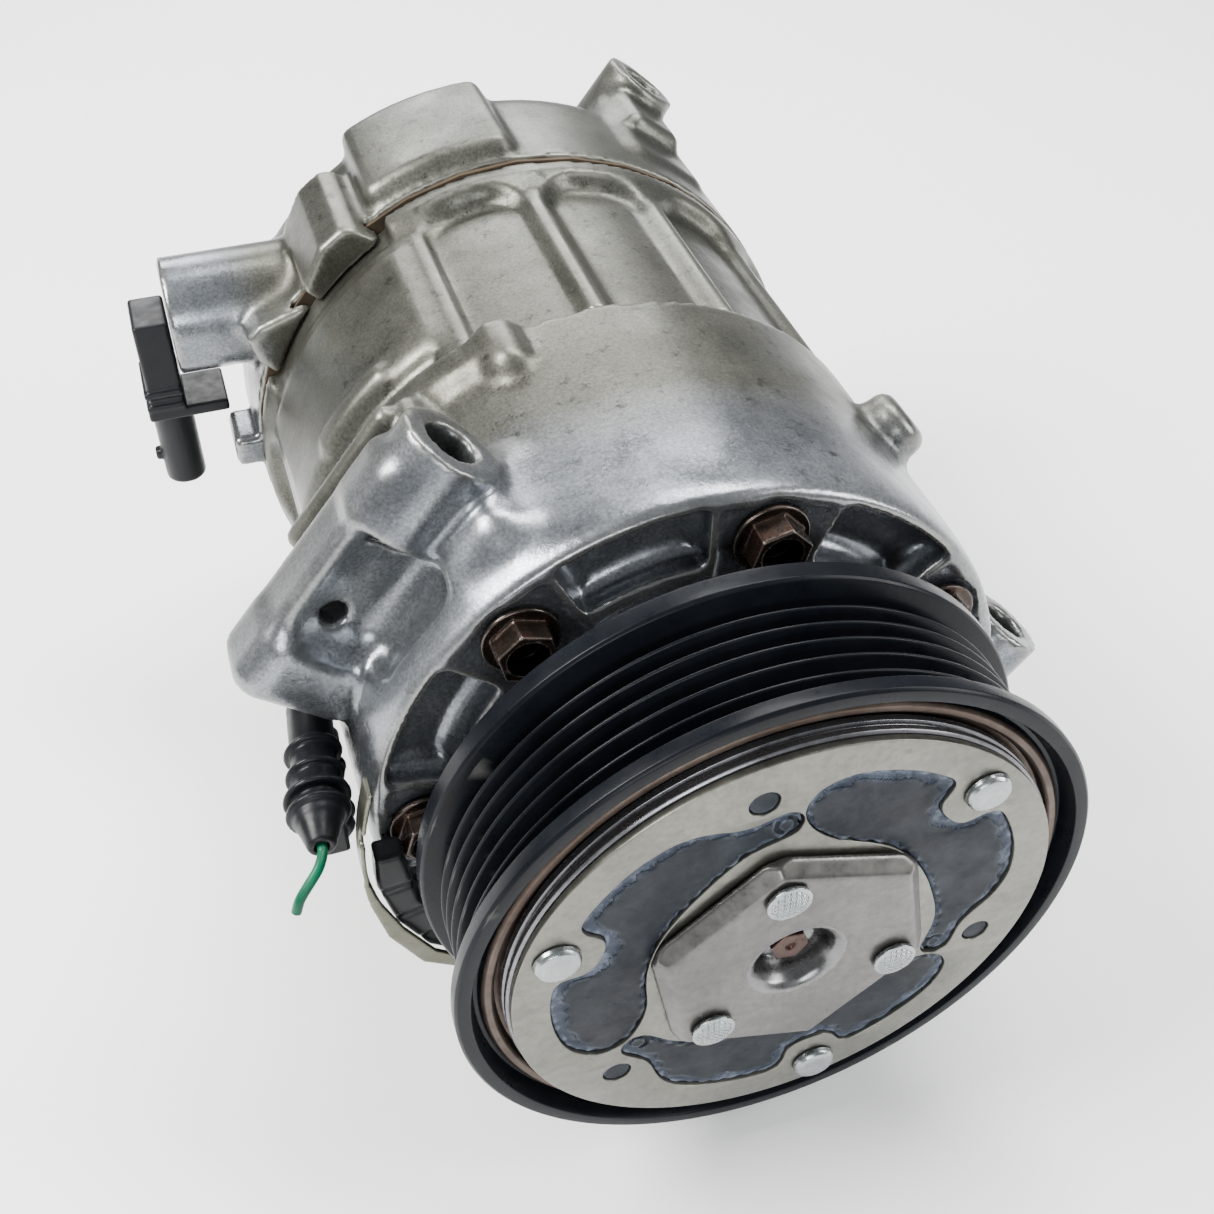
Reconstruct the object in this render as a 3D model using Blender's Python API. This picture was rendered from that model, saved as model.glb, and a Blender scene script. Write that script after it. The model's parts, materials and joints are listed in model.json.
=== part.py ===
"""Automotive air-conditioning compressor with seven cylinders, a wobble plate and a magnetic clutch.

The frame is +Y along the shaft from the pulley to the rear head and +Z up, with the origin on the
shaft axis in the plane of the pulley's front flange. Lengths are written in millimetres and become
metres as meshes are made. Angles are in degrees round the shaft, from +X towards +Z.
"""

import math

import bmesh
import bpy
from mathutils import Matrix, Vector

MM = 0.001
GAP = 0.3

# Driving dimensions.
PULLEY_RADIUS = 55.0
PULLEY_WIDTH = 30.0
GROOVES = 6
GROOVE_PITCH = 3.56
FIRST_GROOVE_Y = 5.62
GROOVE_ROOT_RADIUS = 48.3
GROOVE_TIP_RADIUS = 52.1

BODY_RADIUS = 60.0
FRONT_FACE_Y = 40.5
FRONT_SEAM_Y = 98.0
BLOCK_Y = 118.0
REAR_SEAM_Y = 153.2
HEAD_END_Y = 189.5
HEAD_RADIUS = 61.5
CRANKCASE_RADIUS = 54.3

CYLINDERS = 7
PITCH_RADIUS = 37.0
BORE_RADIUS = 14.9
PISTON_RADIUS = 14.6
BOLT_CIRCLE = 50.0
BOLT_ANGLE = 77.7
BOLT_HOLE = 3.35
STEP = 360.0 / CYLINDERS

# The wobble plate tilts towards one of the bolts' angles, so no cylinder stands on the tilt axis.
WOBBLE_Y = 95.0
WOBBLE_RADIUS = 45.5
TILT_ANGLE = BOLT_ANGLE + 4 * STEP
SOCKET_RADIUS = 6.8
BALL_RADIUS = 4.4

# Clutch: the rivet angles repeat every 120 degrees.
HUB_ANGLE = 100.5
WINDOW_ANGLE = 41.5
HUB_RIVET_RADIUS = 18.6
PLATE_RIVET_RADIUS = 41.0
PLATE_HOLE_RADIUS = 38.3
DRIVE_PLATE_RADIUS = 46.5
DRIVE_PLATE_Y = -1.8
HUB_FACE_Y = -5.5
FRICTION_FACE_Y = 3.8

# Mounting bolts pass square to the shaft, all along this direction.
EAR_ANGLE = 51.1
EAR_HOLE = 4.8
EAR_RADIUS = 8.8
FRONT_EAR_Y = 63.0
LEFT_EAR_OFFSET = 67.2
RIGHT_EAR_OFFSET = -65.5
REAR_EAR_Y = 194.4
REAR_EAR_OFFSET = 2.5

VALVE_Y = 170.0
VALVE_Z = 29.0
VALVE_BOSS_RADIUS = 12.5
VALVE_BOSS_END_X = -75.0
SUCTION_PORT_ANGLE = 205.0
PORT_RADIUS = 36.0
RELIEF_ANGLE = 300.0
RELIEF_RADIUS = 15.0

CONNECTOR_AXIS = (-67.0, 7.0)
WIRE_RADIUS = 0.9

ROUND = 32
SMALL_ROUND = 14


# Directions and frames.
def spoke(angle, radius=1.0, y=0.0):
    """The point at this angle and radius round the shaft."""
    turn = math.radians(angle)
    return Vector((radius * math.cos(turn), y, radius * math.sin(turn)))


EAR_AXIS = spoke(EAR_ANGLE)
EAR_SIDE = spoke(EAR_ANGLE + 90.0)
SHAFT_AXIS = Vector((0.0, 1.0, 0.0))


def frame_of(side, along, up, origin=(0.0, 0.0, 0.0)):
    """The matrix that takes local X, Y and Z to these three directions, at this origin."""
    columns = [Vector(side), Vector(along), Vector(up)]
    matrix = Matrix([[column[row] for column in columns] for row in range(3)]).to_4x4()
    matrix.translation = Vector(origin)
    return matrix


def ear_frame(offset, y):
    """Local Y runs along a mounting bolt, local X is outward across the shaft and local Z runs along the
    shaft."""
    return frame_of(EAR_SIDE, EAR_AXIS, -SHAFT_AXIS, EAR_SIDE * offset + SHAFT_AXIS * y)


def shifted(x, y, z):
    return Matrix.Translation((x, y, z))


# Shapes are (points, faces) in millimetres.
def turned(outline, segments=ROUND, matrix=None, start=0.0):
    """The closed section outline of (radius, y) points, turned round local Y."""
    points, rings = [], []
    for radius, y in outline:
        count = segments if radius > 1e-6 else 1
        rings.append((len(points), count))
        points += [spoke(start + 360.0 * i / segments, radius, y) for i in range(count)]
    faces = []
    for (first, many), (second, more) in zip(rings, rings[1:] + rings[:1]):
        if many == 1 and more == 1:
            continue
        for i in range(segments):
            j = (i + 1) % segments
            corners = [first + i % many, first + j % many, second + j % more, second + i % more]
            faces.append(tuple(dict.fromkeys(corners)))
    return placed((points, faces), matrix)


def extruded(outline, low, high, matrix=None):
    """The closed outline of (x, z) points, drawn out along local Y from low to high."""
    count = len(outline)
    points = [Vector((x, y, z)) for y in (low, high) for x, z in outline]
    faces = [tuple(range(count)), tuple(range(2 * count - 1, count - 1, -1))]
    faces += [(i, (i + 1) % count, count + (i + 1) % count, count + i) for i in range(count)]
    return placed((points, faces), matrix)


def placed(shape, matrix):
    points, faces = shape
    return ([matrix @ point for point in points] if matrix else points), faces


def merged(*shapes):
    points, faces = [], []
    for more_points, more_faces in shapes:
        first = len(points)
        points += more_points
        faces += [tuple(first + index for index in face) for face in more_faces]
    return points, faces


def rod(radius, low, high, segments=SMALL_ROUND, matrix=None, start=0.0):
    return turned([(0.0, low), (radius, low), (radius, high), (0.0, high)], segments, matrix, start)


def box(low, high, matrix=None):
    """A box between two opposite corners."""
    corners = [(low[0], low[2]), (high[0], low[2]), (high[0], high[2]), (low[0], high[2])]
    return extruded(corners, low[1], high[1], matrix)


def arc(radius, start, end, steps):
    """Points (x, z) along an arc round the shaft."""
    angles = [start + (end - start) * i / steps for i in range(steps + 1)]
    return [(spoke(a, radius).x, spoke(a, radius).z) for a in angles]


def sector(inner, outer, start, end, low, high, steps=6):
    outline = arc(inner, start, end, steps) + arc(outer, end, start, steps)
    return extruded(outline, low, high)


def polar_outline(points, turn=0.0):
    """(x, z) points from (radius, angle) points."""
    return [(spoke(angle + turn, radius).x, spoke(angle + turn, radius).z) for radius, angle in points]


def ring_of(make, count, first, step):
    return merged(*[make(first + step * i) for i in range(count)])


# Materials and objects.
def material(name, colour, roughness, metallic):
    made = bpy.data.materials.new(name)
    made.use_nodes = True
    shader = made.node_tree.nodes["Principled BSDF"]
    shader.inputs["Base Color"].default_value = (*colour, 1.0)
    shader.inputs["Roughness"].default_value = roughness
    shader.inputs["Metallic"].default_value = metallic
    made.diffuse_color = (*colour, 1.0)
    return made


def add(name, shape, finish, origin=(0.0, 0.0, 0.0), parent=None):
    """An object named for its piece, with its origin at a point given in millimetres."""
    points, faces = shape
    centre = Vector(origin)
    bm = bmesh.new()
    vertices = [bm.verts.new((point - centre) * MM) for point in points]
    for face in faces:
        bm.faces.new([vertices[index] for index in face])
    bmesh.ops.recalc_face_normals(bm, faces=bm.faces)
    mesh = bpy.data.meshes.new(name)
    bm.to_mesh(mesh)
    bm.free()
    mesh.shade_smooth()
    mesh.set_sharp_from_angle(angle=math.radians(32))
    if finish:
        mesh.materials.append(finish)
    made = bpy.data.objects.new(name, mesh)
    bpy.context.collection.objects.link(made)
    made.location = centre * MM
    if parent:
        made.parent = parent
        made.matrix_parent_inverse = Matrix.Translation(parent.location).inverted()
    return made


def helper(name, shape):
    made = add(name, shape, None)
    made.hide_render = True
    made.display_type = "WIRE"
    return made


def boolean(target, operation, shape, label):
    tool = helper(f"{target.name}_{label}", shape)
    modifier = target.modifiers.new(label, "BOOLEAN")
    modifier.operation = operation
    modifier.solver = "EXACT"
    modifier.object = tool


def cut(target, shape, label):
    boolean(target, "DIFFERENCE", shape, label)


def join(target, shape, label):
    boolean(target, "UNION", shape, label)


def pivot(name, origin):
    made = bpy.data.objects.new(name, None)
    made.location = Vector(origin) * MM
    bpy.context.collection.objects.link(made)
    return made


# Castings.
def bolt_holes(low, high):
    return ring_of(
        lambda angle: rod(BOLT_HOLE, low, high, 8, Matrix.Translation(spoke(angle, BOLT_CIRCLE))),
        CYLINDERS,
        BOLT_ANGLE,
        STEP,
    )


def front_housing(finish):
    nose, seat, seal_bore, bearing_bore = 17.5, 21.0, 12.4, 14.3
    rim = [(55.0, 0.0), (58.4, 1.8), (BODY_RADIUS, 7.5)]
    outline = [(seal_bore, 5.3), (nose, 5.3), (nose, 29.0), (seat, 29.0), (seat, 34.0), (30.0, 34.2)]
    outline += [(33.0, FRONT_FACE_Y)] + [(radius, FRONT_FACE_Y + y) for radius, y in rim]
    outline += [(BODY_RADIUS, FRONT_SEAM_Y), (CRANKCASE_RADIUS, FRONT_SEAM_Y), (CRANKCASE_RADIUS, 64.0)]
    outline += [(49.0, 58.0), (bearing_bore, 58.0), (bearing_bore, 44.0), (seal_bore, 44.0)]
    body = add("front_housing", turned(outline), finish)
    join(body, left_ear_web(), "left_ear_web")
    join(body, rod(EAR_RADIUS, 2.0, 26.7, 16, ear_frame(LEFT_EAR_OFFSET, FRONT_EAR_Y)), "left_ear_boss")
    join(body, right_ear_web(), "right_ear_web")
    join(body, rod(EAR_RADIUS, -12.5, 41.0, 16, ear_frame(RIGHT_EAR_OFFSET, FRONT_EAR_Y)), "right_ear_boss")
    knob = frame_of(spoke(127), spoke(37), -SHAFT_AXIS, (0.0, 74.0, 0.0))
    join(body, turned([(0, 56), (6.2, 56), (6.2, 64.6), (4.6, 66.5), (0, 66.5)], 12, knob), "side_knob")
    join(body, sector(55.0, 63.5, 106, 114, 90.0, FRONT_SEAM_Y - 0.4, 3), "top_lug")
    cut(body, left_ear_recess(), "left_ear_recess")
    left_window = EAR_SIDE * 67.0 - EAR_AXIS * 10.0 + SHAFT_AXIS * FRONT_EAR_Y
    cut(body, rod(2.4, -3.0, 4.5, 10, Matrix.Translation(left_window)), "left_window")
    for label, offset, low, high in (
        ("left_bore", LEFT_EAR_OFFSET, 6.0, 40), ("right_bore", RIGHT_EAR_OFFSET, -40, 55)
    ):
        cut(body, rod(EAR_HOLE, low, high, SMALL_ROUND, ear_frame(offset, FRONT_EAR_Y)), label)
    cut(body, bolt_holes(FRONT_FACE_Y - 5, 66.0), "bolt_holes")

    def seat_of(angle):
        return rod(
            7.5, FRONT_FACE_Y - 9, FRONT_FACE_Y + 1.0, 10, Matrix.Translation(spoke(angle, BOLT_CIRCLE))
        )

    cut(body, ring_of(seat_of, CYLINDERS, BOLT_ANGLE, STEP), "bolt_seats")

    def pocket(angle):
        return sector(46.5, 56.5, angle - 15.5, angle + 15.5, FRONT_FACE_Y - 3, FRONT_FACE_Y + 4.2, 3)

    cut(body, ring_of(pocket, CYLINDERS, BOLT_ANGLE + STEP / 2, STEP), "front_pockets")
    return body


def across_ears(outline, before, after):
    """A shape drawn square to the shaft: local X outward past the bolt, local Z along the bolt."""
    return extruded(
        outline, FRONT_EAR_Y - before, FRONT_EAR_Y + after, frame_of(EAR_SIDE, SHAFT_AXIS, EAR_AXIS)
    )


def left_ear_web():
    outline = [
        (50.0, -30.0), (62.0, -30.5), (71.0, -26.0), (75.5, -17.0), (75.5, 19.0), (66.0, 24.0),
        (51.0, 24.0), (57.0, 0.0),
    ]
    return across_ears(outline, 7.0, 7.5)


def left_ear_recess():
    return across_ears([(58.5, -12.0), (70.5, -13.5), (71.0, 8.5), (59.0, 10.0)], 12.0, -1.5)


def right_ear_web():
    outline = [
        (-55.5, -14.0), (-64.0, -12.0), (-73.0, -6.0), (-73.5, 30.0), (-64.0, 38.0), (-45.0, 38.0),
        (-57.0, 6.0),
    ]
    return across_ears(outline, 5.5, 5.5)


def centre_housing(finish):
    front, rear = FRONT_SEAM_Y + GAP, REAR_SEAM_Y
    outline = [(CRANKCASE_RADIUS, front), (60.4, front), (60.4, front + 3.0), (57.0, front + 4.5)]
    outline += [(57.0, rear - 7.0), (61.0, rear - 5.5), (61.0, rear), (0.0, rear), (0.0, BLOCK_Y + 24.0)]
    outline += [(12.5, BLOCK_Y + 24.0), (12.5, BLOCK_Y), (CRANKCASE_RADIUS, BLOCK_Y)]
    body = add("centre_housing", turned(outline), finish)

    def rib(angle):
        return box(
            (54.5, front + 1.5, -2.4),
            (60.2, rear - 3.0, 2.4),
            Matrix.Rotation(math.radians(-angle), 4, "Y"),
        )

    join(body, ring_of(rib, 2 * CYLINDERS, 64.0, STEP / 2), "ribs")
    join(body, sector(54.0, 62.4, 117, 166, front + 2.0, rear - 2.2, 8), "side_panel")
    join(body, sector(58.0, 66.0, 123.5, 133, rear - 13.0, rear - 1.0, 2), "upper_tab")
    join(body, sector(58.0, 66.0, 155, 165, rear - 13.0, rear - 1.0, 2), "lower_tab")
    cut(body, bolt_holes(front - 5.0, rear + 5.0), "bolt_holes")

    def bore(angle):
        return rod(
            BORE_RADIUS, BLOCK_Y - 3.0, rear + 5.0, 16, Matrix.Translation(spoke(angle, PITCH_RADIUS))
        )

    cut(body, ring_of(bore, CYLINDERS, BOLT_ANGLE + STEP / 2, STEP), "cylinder_bores")
    return body


def rear_head(finish):
    seam, end = REAR_SEAM_Y + 1.6, HEAD_END_Y
    outline = [(0.0, seam + 2.9), (9.5, seam + 2.9), (56.4, seam + 2.9), (56.4, seam), (HEAD_RADIUS, seam)]
    outline += [(HEAD_RADIUS, end - 8.5), (60.3, end - 4.5), (57.0, end - 1.2), (52.0, end), (0.0, end)]
    body = add("rear_head", turned(outline), finish)
    floor = end - 8.0
    arm = [(-8.0, 44.0), (13.0, 44.0), (13.0, 62.5), (6.0, 64.5), (-8.0, 63.0)]
    arm_frame = frame_of(EAR_SIDE, SHAFT_AXIS, EAR_AXIS)
    join(body, extruded(arm, seam + 4.0, REAR_EAR_Y, arm_frame), "rear_ear_arm")
    join(body, rod(EAR_RADIUS, 30.0, 69.0, 16, ear_frame(REAR_EAR_OFFSET, REAR_EAR_Y)), "rear_ear_boss")
    join(body, sector(56.0, 65.0, 90, 119, seam + 3.0, end - 3.0, 5), "top_pad")
    boss = frame_of((0, 1, 0), (-1, 0, 0), (0, 0, 1), (0.0, VALVE_Y, VALVE_Z))
    join(body, rod(VALVE_BOSS_RADIUS, 34.0, -VALVE_BOSS_END_X, 20, boss), "valve_boss")
    join(body, sector(56.0, 67.5, 176, 182, seam + 1.0, seam + 13.0, 2), "side_lug")
    cut(
        body,
        turned([(29.0, seam - 2), (43.5, seam - 2), (43.5, floor), (29.0, floor)], 20),
        "suction_chamber",
    )
    cut(body, rod(24.0, seam - 2, floor, 20), "discharge_chamber")
    cut(body, bolt_holes(seam - 2, seam + 24.0), "bolt_holes")
    cut(body, rod(8.8, 45.0, 80.0, 20, boss), "valve_bore")
    cut(body, rod(EAR_HOLE, 25.0, 90.0, SMALL_ROUND, ear_frame(REAR_EAR_OFFSET, REAR_EAR_Y)), "rear_bore")
    cut(
        body,
        rod(7.5, floor - 4.0, end + 5, 18, Matrix.Translation(spoke(SUCTION_PORT_ANGLE, PORT_RADIUS))),
        "suction_port",
    )
    cut(body, rod(6.0, floor - 4.0, end + 5, 16, Matrix.Translation(spoke(180.0, 10.0))), "discharge_port")
    relief = Matrix.Translation(spoke(RELIEF_ANGLE, RELIEF_RADIUS))
    cut(body, rod(4.2, floor - 4.0, end + 5, 12, relief), "relief_port")
    return body


# Fasteners.
def housing_bolt(index, finish):
    angle = BOLT_ANGLE + STEP * index
    flange_y = FRONT_FACE_Y + 1.0 - GAP
    outline = [(0.0, flange_y - 2.2), (3.5, flange_y - 2.2), (3.8, flange_y - 5.4), (5.2, flange_y - 5.4)]
    outline += [(5.2, flange_y - 1.6), (6.6, flange_y - 1.2), (6.6, flange_y), (3.0, flange_y)]
    outline += [(3.0, REAR_SEAM_Y + 22.0), (0.0, REAR_SEAM_Y + 22.0)]
    centre = spoke(angle, BOLT_CIRCLE)
    return add(
        f"housing_bolt_{index + 1}", turned(outline, 10, Matrix.Translation(centre), 15.0), finish, centre
    )


def rivet(name, radius, angle, head, head_radius, shank_radius, tail, finish, parent):
    """A rivet with its domed head at the front; tail gives its second head's (low, high) or the shank's
    end."""
    centre = spoke(angle, radius)
    low, high = head
    outline = [
        (0.0, low), (head_radius * 0.72, low + 0.25), (head_radius, high - 0.45), (head_radius, high)
    ]
    outline += [(shank_radius, high)]
    if tail[0] < tail[1]:
        outline += [(shank_radius, tail[0]), (head_radius, tail[0]), (head_radius, tail[1])]
    else:
        outline += [(shank_radius, tail[1])]
    outline += [(0.0, tail[1])]
    return add(name, turned(outline, 10, Matrix.Translation(centre)), finish, centre, parent)


# Clutch, pulley and coil.
def pulley(finish, parent):
    outline = [(52.2, 0.0), (54.4, 0.0), (PULLEY_RADIUS, 0.6), (PULLEY_RADIUS, 2.8), (52.4, 4.2)]
    for groove in range(GROOVES):
        centre = FIRST_GROOVE_Y + GROOVE_PITCH * groove
        outline.append((GROOVE_ROOT_RADIUS, centre))
        if groove < GROOVES - 1:
            outline.append((GROOVE_TIP_RADIUS, centre + GROOVE_PITCH / 2))
    outline += [(53.6, 25.3), (54.4, 25.9), (54.4, 29.2), (53.5, PULLEY_WIDTH), (46.2, PULLEY_WIDTH)]
    outline += [(46.2, 8.9), (28.9, 8.9), (28.9, 28.4), (25.3, 28.4), (25.3, 8.3), (23.4, 8.3)]
    outline += [(23.4, FRICTION_FACE_Y), (49.6, FRICTION_FACE_Y), (50.2, 3.0), (51.2, 3.0), (52.2, 1.4)]
    body = add("pulley", turned(outline, ROUND), finish, parent=parent)

    def slot(angle):
        return sector(36.6, 38.6, angle, angle + 40, 1.0, 12.0, 1)

    cut(body, ring_of(slot, 4, 9.0, 90.0), "flux_slots")
    return body


def clutch_hub(finish, parent):
    """A sleeve on the shaft with a six-sided flange in front, whose middle is dished round the bolt."""
    face = HUB_FACE_Y
    outline = [
        (3.2, 0.8), (6.6, 0.8), (6.9, -3.0), (8.2, face + 0.7), (9.6, face), (25.0, face), (25.0, -2.4)
    ]
    outline += [(11.6, -2.4), (11.6, 17.0), (7.8, 17.0), (7.8, 3.0), (3.2, 3.0)]
    body = add("clutch_hub", turned(outline, 24), finish, parent=parent)
    for side in range(6):
        angle = HUB_ANGLE + 30.0 + 60.0 * side
        matrix = Matrix.Rotation(math.radians(-angle), 4, "Y")
        slab = extruded([(22.4, -20.0), (30.0, -20.0), (30.0, 20.0), (22.4, 20.0)], face - 2.0, 0.0, matrix)
        wedge_points = [
            (20.9, face - 1.0), (20.9, face - 0.01), (24.0, face + 3.2), (30.0, face + 3.2),
            (30.0, face - 1.0),
        ]
        wedge = placed(
            extruded(wedge_points, -20.0, 20.0), matrix @ frame_of((1, 0, 0), (0, 0, 1), (0, 1, 0))
        )
        cut(body, wedge, f"chamfer_{side}")

    def hole(angle):
        return rod(2.5, face - 3, 0.0, 8, Matrix.Translation(spoke(angle, HUB_RIVET_RADIUS)))

    cut(body, ring_of(hole, 3, HUB_ANGLE, 120.0), "rivet_holes")
    return body


def window_outline(angle):
    """A bean-shaped window round a rivet's tab: from the hub side to the tail, the lobe, the notch and
    the lobe."""
    points = [(24.9, 36.0 - 15.0 * i) for i in range(6)]
    points += [(28.0, -54.0), (28.6, -65.0), (30.6, -70.5), (33.4, -68.5), (34.2, -60.0)]
    points += [(36.2, -48.5), (39.0, -41.0), (40.0, -32.0), (40.0, -22.0), (40.0, -12.0)]
    points += [(37.4, -8.4), (34.6, -6.4), (33.6, 0.0), (34.6, 6.4), (37.4, 8.4)]
    points += [
        (40.0, 12.0), (40.0, 25.5), (40.0, 39.0), (38.0, 45.0), (34.5, 48.2), (30.5, 48.2), (27.0, 43.5)
    ]
    return polar_outline(points, angle)


def inset(outline, distance):
    """The closed (x, z) outline moved inward everywhere by a distance."""
    points = [Vector(point) for point in outline]
    area = sum(a.cross(b) for a, b in zip(points, points[1:] + points[:1]))
    side = distance if area > 0 else -distance
    moved = []
    for before, here, after in zip(points[-1:] + points[:-1], points, points[1:] + points[:1]):
        normals = [Vector((a.y - b.y, b.x - a.x)).normalized() for a, b in ((before, here), (here, after))]
        moved.append(tuple(here + (normals[0] + normals[1]) * side / (1.0 + normals[0].dot(normals[1]))))
    return moved


def drive_plate(finish, parent):
    low, high = DRIVE_PLATE_Y, DRIVE_PLATE_Y + 1.3
    body = add(
        "drive_plate",
        turned([(14.0, low), (DRIVE_PLATE_RADIUS, low), (DRIVE_PLATE_RADIUS, high), (14.0, high)], ROUND),
        finish,
        parent=parent,
    )

    def window(angle):
        return extruded(window_outline(angle), low - 2.0, high + 2.0)

    cut(body, ring_of(window, 3, WINDOW_ANGLE, 120.0), "windows")
    holes = []
    for radius, first, size in (
        (HUB_RIVET_RADIUS, HUB_ANGLE, 2.6),
        (PLATE_HOLE_RADIUS, HUB_ANGLE, 2.5),
        (PLATE_RIVET_RADIUS, WINDOW_ANGLE, 2.5),
    ):
        holes += [
            rod(size, low - 2, high + 2, 8, Matrix.Translation(spoke(first + 120.0 * i, radius)))
            for i in range(3)
        ]
    cut(body, merged(*holes), "holes")
    return body


def damper_rubber(finish, parent):
    """A moulded ring behind the drive plate, whose pads stand forward into the plate's windows."""
    back = DRIVE_PLATE_Y + 1.3 + GAP
    ring = [(25.2, back), (39.6, back), (39.6, back + 1.1), (25.2, back + 1.1)]
    body = add("damper_rubber", turned(ring, ROUND), finish, parent=parent)

    def pad(angle):
        return extruded(inset(window_outline(angle), 0.35), DRIVE_PLATE_Y + 0.4, back + 0.6)

    join(body, ring_of(pad, 3, WINDOW_ANGLE, 120.0), "pads")

    def relief(angle):
        return rod(4.4, back - 4, back + 4, 10, Matrix.Translation(spoke(angle, PLATE_RIVET_RADIUS)))

    cut(body, ring_of(relief, 3, WINDOW_ANGLE, 120.0), "rivet_reliefs")
    return body


def armature_plate(finish, parent):
    outline = [(29.0, 1.3), (40.3, 1.3), (40.3, -0.2), (47.0, -0.2), (47.0, 3.2), (29.0, 3.2)]
    body = add("armature_plate", turned(outline, ROUND), finish, parent=parent)

    def hole(angle):
        return rod(2.5, -3, 6, 8, Matrix.Translation(spoke(angle, PLATE_RIVET_RADIUS)))

    cut(body, ring_of(hole, 3, WINDOW_ANGLE, 120.0), "rivet_holes")
    return body


def coil_parts(steel, copper):
    shell = [
        (21.4, 31.2), (30.0, 31.2), (30.0, 10.2), (31.5, 10.2), (31.5, 29.6), (43.3, 29.6), (43.3, 10.2)
    ]
    shell += [(44.9, 10.2), (44.9, 33.0), (21.4, 33.0)]
    add("coil_shell", turned(shell, 24), steel)
    winding = [(31.9, 11.2), (42.9, 11.2), (42.9, 29.2), (31.9, 29.2)]
    add("coil_winding", turned(winding, 24), copper)


# Shaft, bearings and seals.
def sleeve(name, inner, outer, low, high, finish, segments=24, parent=None):
    outline = [(inner, low), (outer, low), (outer, high), (inner, high)]
    return add(name, turned(outline, segments), finish, parent=parent)


def shaft(finish, parent):
    outline = [(0.0, 16.5), (3.1, 16.5), (3.1, 3.4), (7.4, 3.4), (7.4, 22.0), (8.0, 22.6), (8.0, 62.0)]
    outline += [
        (9.0, 62.6), (9.0, BLOCK_Y + 6.0), (8.0, BLOCK_Y + 6.6), (8.0, BLOCK_Y + 21.5),
        (0.0, BLOCK_Y + 21.5),
    ]
    return add("shaft", turned(outline, 20), finish, parent=parent)


def clutch_bolt(finish, parent):
    outline = [
        (0.0, -2.0), (1.4, -2.2), (2.2, -3.0), (4.3, -3.0), (4.3, 0.5), (2.7, 0.5), (2.7, 15.5), (0.0, 15.5)
    ]
    return add("clutch_bolt", turned(outline, 6, start=10.0), finish, parent=parent)


def drive_lug_plate(finish, parent):
    outline = [(9.3, 64.0), (33.0, 64.0), (33.0, 69.0), (13.0, 69.0), (13.0, 74.0), (9.3, 74.0)]
    body = add("drive_lug_plate", turned(outline, 28), finish, parent=parent)
    join(body, sector(17.0, 26.0, TILT_ANGLE - 14, TILT_ANGLE + 14, 67.0, 74.0, 3), "lug")
    return body


def sphere_arc(radius, low, high, steps):
    """(radius, y) points down a sphere's side between two heights from its centre."""
    heights = [low + (high - low) * i / steps for i in range(steps + 1)]
    return [(math.sqrt(radius**2 - height**2), WOBBLE_Y + height) for height in heights]


def pivot_sleeve(finish, parent):
    outline = sphere_arc(13.0, -8.0, 8.0, 4) + [(9.3, WOBBLE_Y + 8.0), (9.3, WOBBLE_Y - 8.0)]
    return add("pivot_sleeve", turned(outline, 20), finish, parent=parent)


def journal(finish, parent):
    y = WOBBLE_Y
    outline = [(15.0, y - 7.5)] + sphere_arc(13.4, -5.0, 5.0, 4) + [
        (15.0, y + 8.0), (21.0, y + 8.0), (21.0, y - 3.0)
    ]
    outline += [(27.0, y - 3.0), (27.0, y - 7.5)]
    body = add("journal", turned(outline, 20), finish, (0.0, y, 0.0), parent)
    join(body, sector(17.5, 25.0, TILT_ANGLE - 12, TILT_ANGLE + 12, y - 12.0, y - 6.0, 2), "ear")
    return body


def wobble_plate(finish, parent):
    y = WOBBLE_Y
    outline = [
        (21.5, y - 2.5),
        (27.8, y - 2.5),
        (27.8, y - 7.2),
        (WOBBLE_RADIUS, y - 7.2),
        (WOBBLE_RADIUS, y + 7.0),
    ]
    outline += [(28.0, y + 7.0), (21.5, y + 7.4)]
    body = add("wobble_plate", turned(outline, 28), finish, (0.0, y, 0.0), parent)

    def socket(angle):
        return rod(SOCKET_RADIUS, y - 5.6, y + 12, 12, Matrix.Translation(spoke(angle, PITCH_RADIUS)))

    cut(body, ring_of(socket, CYLINDERS, BOLT_ANGLE + STEP / 2, STEP), "sockets")
    notch = box(
        (34.5, y - 12.0, -4.2), (50.0, y + 12.0, 4.2), Matrix.Rotation(math.radians(-TILT_ANGLE), 4, "Y")
    )
    cut(body, notch, "guide_notch")
    return body


def piston(index, finish, parent):
    angle = BOLT_ANGLE + STEP * (index + 0.5)
    centre = spoke(angle, PITCH_RADIUS)
    crown, skirt, seat = 140.7, 118.9, 131.5
    outline = [
        (0.0, seat), (4.8, seat - 2.0), (5.2, seat - 5.5), (10.5, seat - 7.5), (11.6, skirt),
        (PISTON_RADIUS, skirt),
    ]
    outline += [(PISTON_RADIUS, crown), (0.0, crown)]
    return add(
        f"piston_{index + 1}", turned(outline, 14, Matrix.Translation(centre)), finish, centre, parent
    )


def connecting_rod(index, finish, parent):
    angle = BOLT_ANGLE + STEP * (index + 0.5)
    centre = spoke(angle, PITCH_RADIUS)
    front, rear, stem = WOBBLE_Y, 126.6, 2.3
    outline = []
    for height, ball, sign in ((front, BALL_RADIUS, 1), (rear, 4.3, -1)):
        start = -90 if sign > 0 else -55
        end = 58 if sign > 0 else 90
        for i in range(4):
            turn = start + (end - start) * i / 3
            reach = ball * math.cos(math.radians(turn)) if abs(turn) < 90 else 0.0
            outline.append((reach, height + ball * math.sin(math.radians(turn))))
    return add(
        f"connecting_rod_{index + 1}",
        turned(outline, 8, Matrix.Translation(centre)),
        finish,
        centre,
        parent,
    )


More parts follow.
